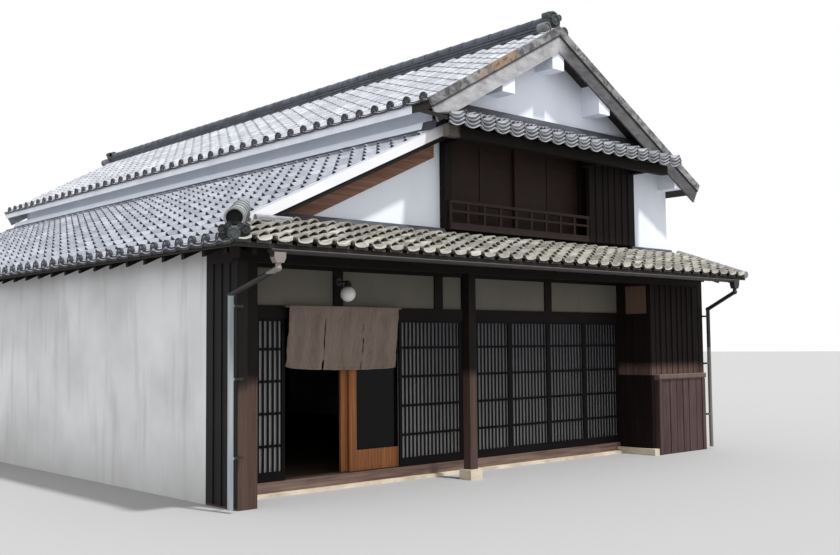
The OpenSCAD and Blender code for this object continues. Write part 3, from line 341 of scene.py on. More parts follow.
def slabFinish():  # roof boards, with the plastered eave over the aisle
    own = Finish("roof_slab")
    x, y, z = own.axes()
    grain = grainOf(own)
    cloud = own.noise(2.6, 3)
    wood = own.mix(own.between(grain, 0.34, 0.68), (30, 24, 21), (56, 45, 40))
    white = own.stain(cloud, 0.4, 0.7, 0.5, lime(226, 229, 236), lime(192, 196, 206))
    plastered = (y > limed["behind"]) * (x < limed["leftOf"]) * (z > limed["over"])
    own.done(own.mix(plastered, wood, white), 0.8, grain, 0.002, 0.4)


barge = {"band": 0.1, "wornAndSunlit": (3.35, 3.6, 4.1, 4.35)}  # the upper band's width, and where its tan stretch fades


def bargeFinish():  # grey boards, mottled by lichen, with one worn tan stretch on the left slope
    own = Finish("barge_wood")
    x, y, z = own.axes()
    sway = own.noise(2.2, 3)
    under = house["apexZ"] - (x - house["ridgeX"]).math("ABSOLUTE") * house["mainPitch"] - z
    foot = barge["band"]
    lower = own.between(under, foot - 0.001, foot + 0.001)
    # a dark line along the joint under the upper band, the band's painted shadow
    joint = own.between(under, foot - 0.018, foot - 0.012) * (1 - own.between(under, foot + 0.008, foot + 0.014))
    right = own.between(x + sway * 0.3, house["ridgeX"] + 0.05, house["ridgeX"] + 0.3)
    fibre = own.noise(1.0, 3, (5, 5, 14), 0.55)
    grain = own.between(fibre, 0.35, 0.65)
    cloud = own.noise(3.2, 3)
    speck = own.noise(11, 4)
    start, full, fading, end = barge["wornAndSunlit"]
    tan = own.between(x, start, full) * (1 - own.between(x, fading, end)) * own.between(cloud, 0.38, 0.6)
    band = own.mix(grain, (112, 111, 113), (182, 182, 184))
    band = own.mix(tan * 0.8, band, (190, 152, 116))
    band = own.stain(speck, 0.5, 0.6, 0.75, band, (66, 65, 66))
    pale = own.mix(grain, (186, 186, 188), (218, 218, 221))
    board = own.mix(right, pale, own.mix(grain, (76, 74, 77), (112, 110, 113)))
    board = own.stain(cloud * 0.6 + speck * 0.4, 0.5, 0.62, 0.4, board, (116, 112, 110))
    colour = own.mix(joint * 0.85, own.mix(lower, band, board), (46, 42, 42))
    own.done(colour, 0.8, speck + fibre, 0.003, 0.4)


vergeBand = {"foot": 0.074, "top": (-0.045, -0.03)}  # depths under the aisle roof's tile bed


def vergeFinish():  # white plaster band over a dark board
    own = Finish("verge")
    x, y, z = own.axes()
    under = sideBed(0) + x * house["sidePitch"] - z
    grain = own.noise(1.0, 4, (2, 38, 24), 0.6)
    cloud = own.noise(1.6, 3)
    # the band's top is painted greyer, the shade under the tiles' edge
    top = own.between(under + cloud * 0.02, *vergeBand["top"])
    white = own.stain(cloud, 0.4, 0.7, 0.4, lime(222, 222, 225), lime(204, 206, 210))
    white = own.mix(top, lime(178, 181, 190), white)
    wood = own.mix(own.between(grain, 0.34, 0.68), (24, 20, 20), (44, 38, 37))
    own.dull(0.2)
    board = own.between(under, vergeBand["foot"] - 0.0005, vergeBand["foot"] + 0.0005)
    own.done(own.mix(board, white, wood), 0.8, cloud + grain, 0.002, 0.35)


gutter = {"lipZ": 2.472, "lipY": -0.6, "outletX": (-0.16, -0.03), "outletZ": (2.25, 2.45),
          "leftPipe": -0.247, "leftTop": 2.06, "rightPipe": 7.95, "rightTop": 1.5}


def gutterFinish():  # dark sheet with its lip painted light, a painted highlight on the lit rim, weathered outlets and pale painted downpipes, the right one left dark above as painted shade
    own = Finish("gutter_metal")
    x, y, z = own.axes()
    cloud = own.noise(4.5, 4)
    grit = own.noise(30, 3)
    run = own.between(own.noise(1.0, 3, (22, 22, 1.2)), 0.35, 0.65)
    colour = own.stain(cloud, 0.4, 0.7, 0.4, (38, 33, 32), (62, 56, 54))
    # the lip's top is painted lighter, a highlight where the light strikes the rim
    colour = own.mix((z > gutter["lipZ"]) * (y < gutter["lipY"]) * 0.8, colour, (128, 122, 116))
    (near, far), (low, high) = gutter["outletX"], gutter["outletZ"]
    outlet = (x > near) * (x < far) * (z > low) * (z < high)
    colour = own.mix(outlet * 0.85, colour, own.mix(cloud, (150, 136, 130), (190, 180, 172)))
    left = (x < gutter["leftPipe"]) * (z < gutter["leftTop"])
    right = (x > gutter["rightPipe"]) * (z < gutter["rightTop"])
    colour = own.mix(left, colour, own.mix(run, (158, 170, 178), (196, 204, 208)))
    # the right downpipe is greenish grey below this height and stays dark above it, painted shade
    colour = own.mix(right, colour, own.mix(run, (112, 108, 100), (148, 142, 130)))
    own.done(colour, own.between(grit, 0.3, 0.8) * 0.3 + 0.4, grit, 0.001, 0.3)


for makeFinish in (slabFinish, bargeFinish, vergeFinish, gutterFinish):
    makeFinish()

coats = {  # each finish with the nodes that have it
    "kerb_stone": "base_stones",
    "post_timber": "front_posts",
    "wing_body": "left_wing_boards",
    "lying_timber": "eave_beam upper_floor_beam aisle_beam",
    "hood_beam_timber": "window_pent_beams",
    "standing_timber": "front_wall_frame window_bay_frame aisle_posts",
    "rafter_timber": "eave_rafters",
    "sill_timber": "ground_sill",
    "cream_plaster": "kokabe_wall",
    "bay_wall": "bay_side_walls bay_board_wall shutter_box",
    "apron_frame": "bay_apron",
    "lattice_wood": "lattice_left lattice_middle lattice_right rear_lattices",
    "lattice_pane": "lattice_glass rear_glass",
    "door_wood": "entrance_door_outer entrance_door_inner",
    "door_pane": "outer_door_glass inner_door_glass",
    "rod_wood": "noren_rod noren",
    "lamp_metal": "lamp_bracket",
    "opal_glass": "lamp_globe",
    "roof_slab": "front_pent_roof lean_to_roof window_pent_roof main_roof_left main_roof_right",
    "hip_tile": "hip_ridge",
    "ridge_body": "main_ridge ridge_end_tiles",
    "verge": "lean_to_verge",
    "beam_wood": "lean_to_beam",
    "white_plaster": "lean_to_gable_wall upper_gable_wall purlin_ends",
    "upper_plaster_lit": "clerestory_wall",
    "outer_plaster": "left_wall right_wall rear_wall",
    "flashing_metal": "roof_flashings",
    "floor_boards": "ground_floor upper_floor",
    "panel_wood": "window_panels",
    "rail_wood": "window_railing",
    "barge_wood": "barge_boards",
    "gutter_metal": "rain_gutters",
}
for coat, names in coats.items():
    for name in names.split():
        for slotPlace in nodes[name].material_slots:
            slotPlace.material = finishes[coat]


# Pieces

def softEdges(bm, edges, width, segments=1):
    bmesh.ops.bevel(bm, geom=list(edges), offset=width, offset_type="OFFSET", segments=segments, profile=0.5,
                    affect="EDGES", material=-1)


def addBlock(bm, low, high, bevel=0.0, turn=None):
    size = [b - a for a, b in zip(low, high)]
    middle = Vector([(a + b) / 2 for a, b in zip(low, high)])
    place = Matrix.Translation(middle) @ Matrix.Diagonal((*size, 1))
    made = bmesh.ops.create_cube(bm, size=1, matrix=turn @ place if turn else place)
    if bevel:
        softEdges(bm, {edge for vert in made["verts"] for edge in vert.link_edges}, bevel)


def meshOf(bm, name):
    mesh = bpy.data.meshes.new(name)
    bm.to_mesh(mesh)
    bm.free()
    return mesh


def addObject(name, data):
    made = bpy.data.objects.new(name, data)
    scene.collection.objects.link(made)
    return made


def makePiece(name, bm, coats, stands=()):
    bmesh.ops.recalc_face_normals(bm, faces=bm.faces)
    bmesh.ops.translate(bm, verts=bm.verts, vec=shift)
    mesh = meshOf(bm, name)
    for coat in coats:
        mesh.materials.append(finishes[coat])
    mesh.shade_smooth()
    mesh.set_sharp_from_angle(angle=math.radians(35))
    piece = addObject(name, mesh)
    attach(piece, "house")
    if stands:
        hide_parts(*stands)


def paint(bm, before, slot):  # gives the faces made since to a material slot
    for face in bm.faces:
        if face not in before:
            face.material_index = slot


# Roof tiles: a sagging pan beside a round crest that is taller at its front end, so that dark gaps open under it

tile = {"crestAt": 0.82, "crest": 0.036, "crestWidth": 0.13, "sag": 0.012, "front": 1.3, "back": 0.62, "edge": 0.006,
        "thick": 0.012, "step": 0.024, "over": 0.016, "segments": 12, "lap": 0.055, "sideLap": (0.03, 0.06)}


def section(u, end, form):  # height across one tile, end being 0 at its front edge and 1 where the next one starts
    away = (u - form["crestAt"]) % 1
    near = min(away, 1 - away)
    crest = form["crest"] * math.exp(-(near / form["crestWidth"]) ** 2)
    pan = form["sag"] * math.sin(math.pi * (away - 0.15) / 0.7) if 0.15 < away < 0.85 else 0
    return crest * (form["front"] + (form["back"] - form["front"]) * end) - pan + form["edge"] * u


def lowerLip(bm, width, form, plumb, outward):  # each rib is a share of the lip's depth, a push out and a slot
    first, last = form["span"]
    edges = [edge for edge in bm.edges if all(vert.co.y < 0.001 for vert in edge.verts)
             and first < (sum(vert.co.x for vert in edge.verts) / 2 / width - form["crestAt"]) % 1 < last]
    for share, push, slot in form["ribs"]:
        made = bmesh.ops.extrude_edge_only(bm, edges=edges)["geom"]
        fresh = {g for g in made if isinstance(g, bmesh.types.BMVert)}
        edges = [g for g in made if isinstance(g, bmesh.types.BMEdge) and all(v in fresh for v in g.verts)]
        for face in [g for g in made if isinstance(g, bmesh.types.BMFace)]:
            face.material_index = slot
        for vert in fresh:
            away = (vert.co.x / width - form["crestAt"]) % 1
            arc = math.sin(math.pi * min(max((away - first) / (last - first), 0), 1)) ** 0.8
            top = section(vert.co.x / width, 0, form) + form["over"] + form["step"]
            depth = (top + form["drop"] * (1 - form["arc"] + form["arc"] * arc)) * share
            vert.co = Vector((vert.co.x, 0, top)) + plumb * depth + outward * push


def tileSource(width, course, fall, form, eave):
    bm = bmesh.new()
    bmesh.ops.create_grid(bm, x_segments=form["segments"], y_segments=1, size=0.5)
    left, right = form["sideLap"]
    for vert in bm.verts:
        u = (vert.co.x + 0.5) * (1 + left + right) - left
        v = (vert.co.y + 0.5) * (course + form["lap"]) / course
        height = section(u, min(v, 1), form) + form["over"] + form["step"] * (1 - v)
        vert.co = Vector((u * width, v * course, height))
    slope = math.atan(fall)
    plumb = Vector((0, -math.sin(slope), -math.cos(slope)))  # straight down, seen from the slope
    outward = Vector((0, -math.cos(slope), math.sin(slope)))
    if eave:
        lowerLip(bm, width, form, plumb, outward)
    bmesh.ops.solidify(bm, geom=bm.faces, thickness=form["thick"])
    if "rim" in form and not eave:  # the front edge of each course has a lighter material of its own, a painted highlight on the lit edge
        bm.normal_update()
        for face in bm.faces:
            if abs(face.normal.y) > 0.7 and face.calc_center_median().y < 0.02:
                face.material_index = form["rim"]
    if eave and "disc" in form:
        radius = form["disc"]
        centre = Vector((form["crestAt"] * width, 0, 0)) - plumb * form["discUp"] + outward * form["discOut"]
        turn = Matrix.Translation(centre) @ Matrix.Rotation(math.radians(90) - slope, 4, "X")
        before = set(bm.faces)
        bmesh.ops.create_cone(bm, cap_ends=True, segments=14, radius1=radius, radius2=radius,
                              depth=form["discThick"], matrix=turn)
        discs = [face for face in bm.faces if face not in before]
        front = min((face for face in discs if len(face.verts) == 14), key=lambda f: f.calc_center_median().y)
        bmesh.ops.inset_region(bm, faces=[front], thickness=radius * 0.2, depth=-0.006)
        paint(bm, before, 1)
    bmesh.ops.recalc_face_normals(bm, faces=bm.faces)
    return meshOf(bm, "tile_source")


def turned(origin, *axes):  # carries a piece's own axes to these ones
    return Matrix.Translation(origin) @ Matrix(axes).transposed().to_4x4()


def layTiles(bm, run, bed, eave, top, first, last, field, look, keep=None):
    # courses go up the run from the eave to the top, and each has its tiles from the first place to the last
    chance = random.Random(field["seed"])
    run = Vector(run)
    fall = (bed(top) - bed(eave)) / abs(top - eave)
    up = (run + upward * fall).normalized()
    across = run.cross(upward)
    place = turned((eave, first, bed(eave)) if run.x else (first, eave, bed(eave)), across, up, across.cross(up))
    width = abs(last - first) / field["columns"]
    course = abs(top - eave) * math.hypot(1, fall) / field["rows"]
    form = {**tile, **look}
    inner = tileSource(width, course, fall, form, False)
    outer = tileSource(width, course, fall, form, True)
    for row in range(field["rows"]):
        for column in range(field["columns"]):
            slide = chance.uniform(-1, 1) * look["slide"]
            turn = chance.uniform(-1, 1) * look["turn"]
            lift = chance.random() * look["lift"]
            spot = place @ Vector(((column + 0.5) * width, (row + 0.5) * course, 0))
            if keep and not keep(spot):
                continue
            copy = (inner if row else outer).copy()
            local = Matrix.Translation((column * width, row * course + (slide if row else 0), 0))
            copy.transform(place @ local @ Matrix.Rotation(math.radians(turn), 4, "Z")
                           @ Matrix.Rotation(lift, 4, "X"))
            bm.from_mesh(copy)
            bpy.data.meshes.remove(copy)
    for source in (inner, outer):
        bpy.data.meshes.remove(source)


def cutAway(bm, point, normal):  # takes off what lies on the normal's side and closes the cut
    geom = bm.verts[:] + bm.edges[:] + bm.faces[:]
    cut = bmesh.ops.bisect_plane(bm, geom=geom, dist=1e-5, plane_co=point, plane_no=normal, clear_outer=True)
    edges = [g for g in cut["geom_cut"] if isinstance(g, bmesh.types.BMEdge) and g.is_valid]
    bmesh.ops.holes_fill(bm, edges=edges, sides=0)


# How the tiles of each roof lie: slide, turn and lift are what single tiles may be off by
# On the eave course slot 1 paints the lips and discs dark, painted shade
even = {"slide": 0.002, "turn": 0.3, "lift": 0.008, "span": (0.1, 0.9), "drop": 0.02, "arc": 0.4, "disc": 0.061,
        "discUp": 0.046, "discOut": 0.016, "discThick": 0.03,
        "ribs": ((0.35, 0.0, 1), (0.55, 0.01, 0), (1, 0.004, 1))}
soft = {**even, "crest": 0.024, "front": 1.1, "back": 0.88, "step": 0.011, "sag": 0.008}
# On the front roof, slot 2 is a painted highlight on lit front edges and the lip's top, slot 1 painted shade on the
# lip below
loose = {"slide": 0.012, "turn": 1.6, "lift": 0.024, "crest": 0.024, "crestWidth": 0.19, "front": 1.45,
         "back": 0.6, "step": 0.038, "over": 0.012, "edge": 0.01, "span": (0.12, 0.88), "drop": -0.002,
         "arc": 0.0, "rim": 2, "thick": 0.015, "ribs": ((0.4, 0.0, 2), (0.45, -0.014, 1), (1, -0.014, 1))}
# On the small roof's lip, slot 1 is painted shade between lighter ribs
hood = {"slide": 0.004, "turn": 0.5, "lift": 0.02, "step": 0.03, "span": (0.05, 0.95), "drop": 0.1, "arc": 0.5,
        "ribs": tuple(rib for i in range(3) for rib in
                      (((i + 0.6) / 3, 0.0, 1), ((i + 0.7) / 3, 0.016, 0), ((i + 0.98) / 3, 0.016, 0)))}
ridgeGap = 0.06  # the last course ends beside the ridge's foot

leftTiles = {"columns": 44, "rows": 13, "seed": 11, "in": 0.02, "rearIn": 0.01, "frontIn": 0.025}
bm = bmesh.new()
layTiles(bm, (1, 0, 0), mainBed, house["mainLeft"] + leftTiles["in"], house["ridgeX"] - ridgeGap,
         house["mainRear"] - leftTiles["rearIn"], house["mainFront"] + leftTiles["frontIn"], leftTiles, soft)
makePiece("main_tiles_left", bm, ["silver_tile_painted_sheen", "eave_disc"])

rightTiles = {"columns": 44, "rows": 17, "seed": 12, "in": 0.06}
bm = bmesh.new()
layTiles(bm, (-1, 0, 0), mainBed, house["mainRight"] - rightTiles["in"], house["ridgeX"] + ridgeGap,
         house["mainFront"], house["mainRear"], rightTiles, soft)
makePiece("main_tiles_right", bm, ["silver_tile", "eave_disc"])
print("main roof tiles")

hipRun = Vector((house["frontPitch"], house["sidePitch"], 0)).normalized()  # along the hip in plan
hipSide = Vector((hipRun.y, -hipRun.x, 0))
hipRise = house["sidePitch"] * hipRun.x
hipFoot = Vector((house["sideEave"], house["frontEave"], 0))
hipSeat = {"reach": 0.28, "base": 0.012, "rise": 0.34, "front": 0.055}


def flatten(bm):  # tiles lose their height towards the corner, where the hip's end stands on them
    for vert in bm.verts:
        away = (vert.co.xy - hipFoot.xy).length
        if away < hipSeat["reach"]:
            vert.co.z = min(vert.co.z, house["cornerZ"] + hipSeat["base"] + hipSeat["rise"] * away)


aisleTiles = {"columns": 53, "rows": 16, "seed": 14, "out": 0.012, "flashing": 0.18}
cornerTiles = {"columns": 4, "rows": 4, "seed": 13}  # the part in front of the verge, up to the hip
start, end = house["sideEave"] - aisleTiles["out"], house["aisleX"] - aisleTiles["flashing"]
width = (house["sideRear"] - house["sideFront"]) / aisleTiles["columns"]
course = (end - start) / aisleTiles["rows"]
bm = bmesh.new()
layTiles(bm, (1, 0, 0), sideBed, start, start + course * cornerTiles["rows"],
         house["sideFront"], house["sideFront"] - width * cornerTiles["columns"], cornerTiles, even)
flatten(bm)
cutAway(bm, hipFoot, hipSide)
cutAway(bm, Vector((0, house["frontEave"] - hipSeat["front"], 0)), Vector((0, -1, 0)))
layTiles(bm, (1, 0, 0), sideBed, start, end, house["sideRear"], house["sideFront"], aisleTiles, even)
makePiece("aisle_tiles", bm, ["silver_tile", "eave_disc"])

frontTiles = {"columns": 38, "rows": 7, "seed": 15, "out": 0.02, "rightIn": 0.03, "flashing": 0.08}
vergeFoot = {"x": 0.42, "y": 0.28}  # no front tiles left of and behind the foot of the aisle's verge


def overFront(spot):
    return not (spot.y > vergeFoot["y"] and spot.x < vergeFoot["x"])


bm = bmesh.new()
layTiles(bm, (0, 1, 0), frontBed, house["frontEave"] - frontTiles["out"], house["wallY"] - frontTiles["flashing"],
         house["sideEave"], house["frontRight"] - frontTiles["rightIn"], frontTiles, loose, overFront)
flatten(bm)
cutAway(bm, hipFoot, -hipSide)
makePiece("front_tiles", bm, ["tan_tile", "tan_tile_shade", "tan_tile_lit_rim"])

hoodTiles = {"columns": 18, "rows": 4, "seed": 16, "out": 0.032, "flashing": 0.03}


def underBarge(spot):  # the rows behind the barge boards stay under the main roof
    return spot.y < 0.15 or spot.z + 0.06 < mainBed(spot.x) - 0.35


bm = bmesh.new()
layTiles(bm, (0, 1, 0), hoodBed, house["hoodEave"] - hoodTiles["out"], house["wallY"] - hoodTiles["flashing"],
         house["hoodLeft"], house["hoodRight"], hoodTiles, hood, underBarge)
makePiece("window_roof_tiles", bm, ["window_roof_tile", "window_roof_tile_shade"])
print("lower roof tiles")


# Ridges

def addCaps(bm, start, end, radius, count, segments=16):  # round cap tiles, each slightly tapered
    start, end = Vector(start), Vector(end)
    step = (end - start) / count
    aim = step.to_track_quat("Z", "Y").to_matrix().to_4x4()
    for i in range(count):
        middle = start + step * (i + 0.46)
        bmesh.ops.create_cone(bm, cap_ends=True, segments=segments, radius1=radius, radius2=radius * 0.91,
                              depth=step.length * 1.1, matrix=Matrix.Translation(middle) @ aim)


def addDisc(bm, centre, direction, radius, depth, slot=0, rimShare=0.24, hollow=None):
    # a round end with a rim and a sunk field, or with a deep hollow in the material of another slot
    aim = Vector(direction).normalized()
    turn = aim.to_track_quat("Z", "Y").to_matrix().to_4x4()
    before = set(bm.faces)
    bmesh.ops.create_cone(bm, cap_ends=True, segments=24, radius1=radius, radius2=radius, depth=depth,
                          matrix=Matrix.Translation(Vector(centre) + aim * depth / 2) @ turn)
    made = [face for face in bm.faces if face not in before]
    front = max((face for face in made if len(face.verts) == 24), key=lambda f: f.calc_center_median().dot(aim))
    rim = list(front.edges)
    insets = ((radius * rimShare, 0), (0.002, -0.7 * depth)) if hollow is not None else \
        ((radius * rimShare, 0), (0.002, -radius * 0.14), (radius * 0.34, 0), (0.003, radius * 0.1))
    for thickness, sink in insets:
        bmesh.ops.inset_region(bm, faces=[front], thickness=thickness, depth=sink)
    softEdges(bm, (edge for edge in rim if edge.is_valid), radius * 0.07, 2)
    paint(bm, before, slot)
    if hollow is not None:
        front.material_index = hollow


def addLayers(bm, form, piece, turn, bevel=0.0):  # three narrowing courses of flat tiles, one on the other
    for layer in range(3):
        half, z = form["half"] - layer * form["narrower"], layer * form["layer"]
        for i in range(form["pieces"]):
            first, last = i * piece + form["joint"][0], (i + 1) * piece - form["joint"][1]
            addBlock(bm, (first, -half, z), (last, half, z + form["thick"]), bevel, turn)


ridge = {"front": 0.44, "rear": 13.554, "cap": 0.086, "capZ": 0.135, "caps": 48, "half": 0.117,
         "narrower": 0.00735, "layer": 0.048, "thick": 0.018, "pieces": 46, "joint": (0.002, 0.002)}
bm = bmesh.new()
x, z = house["ridgeX"], house["apexZ"]
addCaps(bm, (x, ridge["front"], z + ridge["capZ"]), (x, ridge["rear"] - 0.02, z + ridge["capZ"]), ridge["cap"],
        ridge["caps"])
along = turned((x, ridge["front"], z - 0.01), (0, 1, 0), (-1, 0, 0), upward)
addLayers(bm, ridge, (ridge["rear"] - ridge["front"]) / ridge["pieces"], along)
makePiece("ridge_tiles", bm, ["ridge_tile"])

# Ridge ends: a shouldered slab with a round cap disc, a scroll at each foot and a small boss at each shoulder
ridgeEnd = {"thick": 0.1, "body": 0.13, "bodyUp": 0.136, "disc": 0.08, "reach": 0.04, "scroll": 0.078,
            "scrollOut": 0.178, "scrollUp": -0.006, "scrollReach": 0.035, "boss": 0.046, "bossOut": 0.105,
            "bossUp": 0.19, "foot": (0.01, 0.168), "footZ": (-0.06, 0.05), "trunk": 0.1, "trunkZ": (-0.02, 0.15)}
bm = bmesh.new()
for back, aim in ((ridge["front"], -1), (ridge["rear"], 1)):
    face = back + aim * ridgeEnd["thick"]
    low, high = sorted((back, face))
    addDisc(bm, (x, back, z + ridgeEnd["bodyUp"]), (0, aim, 0), ridgeEnd["body"], ridgeEnd["thick"], 0, 0.18)
    addDisc(bm, (x, face - aim * 0.01, z + ridgeEnd["bodyUp"]), (0, aim, 0), ridgeEnd["disc"], ridgeEnd["reach"])
    for side in (-1, 1):
        turn = Matrix.Translation((x, 0, z)) @ Matrix.Rotation(side * math.atan(house["mainPitch"]), 4, "Y")
        near, far = sorted(side * place for place in ridgeEnd["foot"])
        addBlock(bm, (near, low, ridgeEnd["footZ"][0]), (far, high, ridgeEnd["footZ"][1]), 0.012, turn)
        addDisc(bm, (x + side * ridgeEnd["scrollOut"], back, z + ridgeEnd["scrollUp"]), (0, aim, 0),
                ridgeEnd["scroll"], ridgeEnd["thick"] + ridgeEnd["scrollReach"], 1)
        addDisc(bm, (x + side * ridgeEnd["bossOut"], back, z + ridgeEnd["bossUp"]), (0, aim, 0), ridgeEnd["boss"],
                ridgeEnd["thick"] + 0.01)
    addBlock(bm, (x - ridgeEnd["trunk"], low, z + ridgeEnd["trunkZ"][0]),
             (x + ridgeEnd["trunk"], high, z + ridgeEnd["trunkZ"][1]), 0.012)
makePiece("ridge_ends", bm, ["ridge_end_tile", "ridge_end_scroll"], ["ridge_end_tiles"])

# The hip: flat courses under broad round caps, and a short ridge beside it in front of the verge's foot
hip = {"half": 0.096, "narrower": 0.006, "layer": 0.05, "thick": 0.03, "pieces": 4, "piece": 0.215,
       "joint": (0, 0.003), "core": 0.078, "cap": 0.094, "capZ": 0.151, "capRise": 0.03, "caps": 5,
       "from": 0.12, "to": 1.02}
short = {"half": 0.045, "narrower": 0.004, "layer": 0.032, "thick": 0.022, "pieces": 2, "joint": (0, 0.003),
         "cap": 0.034, "capZ": 0.078, "from": 0.19, "to": 0.622, "y": 0.246}


def alongHip(distance, across, height):  # a point over the hip's bed
    return hipFoot + hipRun * distance + hipSide * across + upward * (house["cornerZ"] + hipRise * distance + height)


hipTurn = turned(alongHip(0, 0, 0), hipRun + upward * hipRise, -hipSide, upward - hipRun * hipRise)
bm = bmesh.new()
addLayers(bm, hip, hip["piece"], hipTurn @ Matrix.Translation((hip["from"] + 0.03, 0, -0.03)), 0.003)
addBlock(bm, (hip["from"] + 0.02, -hip["core"], -0.05), (0.99, hip["core"], 0.15), 0.0, hipTurn)
paint(bm, (), 1)
addCaps(bm, alongHip(hip["from"] + 0.02, 0, hip["capZ"] + hip["capRise"]), alongHip(hip["to"], 0, hip["capZ"]),
        hip["cap"], hip["caps"], 20)
cutAway(bm, Vector((0, house["sideFront"] - 0.05, 0)), Vector((0, 1, 0)))
shortBed = frontBed(short["y"]) - 0.006
addLayers(bm, short, (short["to"] - short["from"]) / short["pieces"],
          Matrix.Translation((short["from"], short["y"], shortBed - 0.02)), 0.003)
ends = [(x, short["y"], shortBed + short["capZ"]) for x in (short["to"], short["from"])]
addCaps(bm, *ends, short["cap"], 2)
makePiece("hip_tiles", bm, ["hip_tile", "hip_dark_tile"], ["hip_ridge"])

# The hip's end: a big cap over a hollow painted near black as shade, a disc before it and scrolls beside it
hipEnd = {"disc": (0.042, 0.05, 0.058, 0.073), "collar": (0.13, 0.004, 0.085),  # along, up, radius, depth
          "scrolls": ((0.105, 0.104, 0.082, 0.046, 0.06), (0.09, 0.056, 0.118, 0.03, 0.055),
                      (0.12, 0.116, 0.026, 0.03, 0.05)),  # along, across, up, radius, depth
          "plates": (((0.076, -0.112, -0.028), (0.12, 0.112, 0.08), 0.012),
                     ((0.05, -0.06, 0.03), (0.08, 0.06, 0.108), 0.01))}
bm = bmesh.new()
along, up, radius, depth = hipEnd["disc"]
addDisc(bm, alongHip(along, 0, up), -hipRun, radius, depth, 3, 0.2)
along, wider, depth = hipEnd["collar"]
addDisc(bm, alongHip(along, 0, hip["capZ"] + hip["capRise"]), -hipRun, hip["cap"] + wider, depth, 1, 0.19, 2)
for side in (-1, 1):
    for along, across, up, radius, depth in hipEnd["scrolls"]:
        addDisc(bm, alongHip(along, side * across, up), -hipRun, radius, depth)
for low, high, bevel in hipEnd["plates"]:
    addBlock(bm, low, high, bevel, hipTurn)
makePiece("hip_end", bm, ["hip_dark_tile", "hip_tile", "hip_hollow_shade", "ridge_end_tile"])

# Round verge tiles close the front roof's right end
vergeTiles = {"in": 0.05, "radius": 0.05, "from": -0.57, "to": 0.56, "up": 0.04, "count": 5}
bm = bmesh.new()
x = house["frontRight"] - vergeTiles["in"]
ends = [(x, y, frontBed(y) + vergeTiles["up"]) for y in (vergeTiles["from"], vergeTiles["to"])]
addCaps(bm, *ends, vergeTiles["radius"], vergeTiles["count"])
addDisc(bm, (x, vergeTiles["from"] - 0.01, ends[0][2] - 0.005), (0, -1, 0), vergeTiles["radius"], 0.03)
makePiece("front_verge_tiles", bm, ["hip_tile"])
print("ridges")


# The aisle's orange beam runs on down to the front roof
beamFoot = {"x": (0.7, 1.271), "y": (0.575, 0.596), "z": (2.6, 3.4), "under": (-0.15, -0.335), "foot": 2.94}
bm = bmesh.new()
addBlock(bm, *zip(beamFoot["x"], beamFoot["y"], beamFoot["z"]))
for height, side in zip(beamFoot["under"], (1, -1)):
    cutAway(bm, Vector((0, 0, sideBed(0) + height)), Vector((-house["sidePitch"], 0, 1)) * side)
cutAway(bm, Vector((0, 0, beamFoot["foot"])), Vector((0, 0, -1)))
makePiece("beam_foot", bm, ["beam_wood"])


# Boards: each wall of boards is a row of planks that differ a little in depth, with battens over their joints

def addPlanks(bm, wall, chance):
    low, high, count, gap = wall["low"], wall["high"], wall["planks"], wall.get("gap", 0.006)
    axis = int(high[0] - low[0] < high[1] - low[1])
    first, last = low[axis], high[axis]
    edges = [first + (last - first) * (i + (chance.uniform(-0.12, 0.12) if 0 < i < count else 0)) / count
             for i in range(count + 1)]
    depth = 1 - axis  # planks and battens stand out along the other level axis
    for start, end in zip(edges, edges[1:]):
        near, far = list(low), list(high)
        near[axis], far[axis] = start + gap / 2, end - gap / 2
        near[depth] += chance.uniform(0, wall.get("relief", 0.004))
        addBlock(bm, near, far, 0.003)
    for joint in edges[1:-1] if "batten" in wall else ():
        near, far = list(low), list(high)
        near[axis], far[axis] = joint - wall["batten"] / 2, joint + wall["batten"] / 2
        near[depth], far[depth] = wall["battenDepth"]
        addBlock(bm, near, far, 0.003)


chance = random.Random(31)
bayFront = {"low": (6.746, 0.0, 1.122), "high": (7.815, 0.014, 2.39), "planks": 8,
            "batten": 0.03, "battenDepth": (-0.012, 0.003)}
bayLeft = {"low": (6.632, 0.02, 0.095), "high": (6.644, 0.575, 1.98), "planks": 4,
           "batten": 0.024, "battenDepth": (6.622, 6.635)}
bm = bmesh.new()
addPlanks(bm, bayFront, chance)
addPlanks(bm, bayLeft, chance)
makePiece("bay_planks", bm, ["bay_boards"])

shutterFront = {"low": (5.86, 0.434, 3.0), "high": (6.905, 0.446, 4.145), "planks": 7,
                "batten": 0.028, "battenDepth": (0.424, 0.437)}
bm = bmesh.new()
addPlanks(bm, shutterFront, chance)
makePiece("shutter_planks", bm, ["shutter_boards"])

apron = {"low": (6.79, -0.062, 0.004), "high": (7.78, -0.049, 1.05), "planks": 6, "gap": 0.012,
         "relief": 0.006, "stiles": (6.7, 7.785), "stile": 0.08, "stileY": (-0.068, -0.048), "stileZ": (0.002, 1.05),
         "cap": ((6.69, -0.084, 1.062), (7.875, 0.0, 1.126), 0.008)}
bm = bmesh.new()
addPlanks(bm, apron, chance)
for x in apron["stiles"]:
    addBlock(bm, *zip((x, x + apron["stile"]), apron["stileY"], apron["stileZ"]), 0.004)
addBlock(bm, *apron["cap"])
makePiece("apron_planks", bm, ["apron_boards"])

wingSide = {"low": (-0.174, 0.004, 0.02), "high": (-0.163, 0.59, 2.4), "planks": 4,
            "batten": 0.028, "battenDepth": (-0.184, -0.172)}
bm = bmesh.new()
addPlanks(bm, wingSide, chance)
makePiece("wing_planks", bm, ["wing_boards"])
print("boards")


# Door curtain: three panels joined at the top, hung by a sleeve over its rod, and settled by a cloth simulation
# that leans gravity a little towards the door, as the breeze does

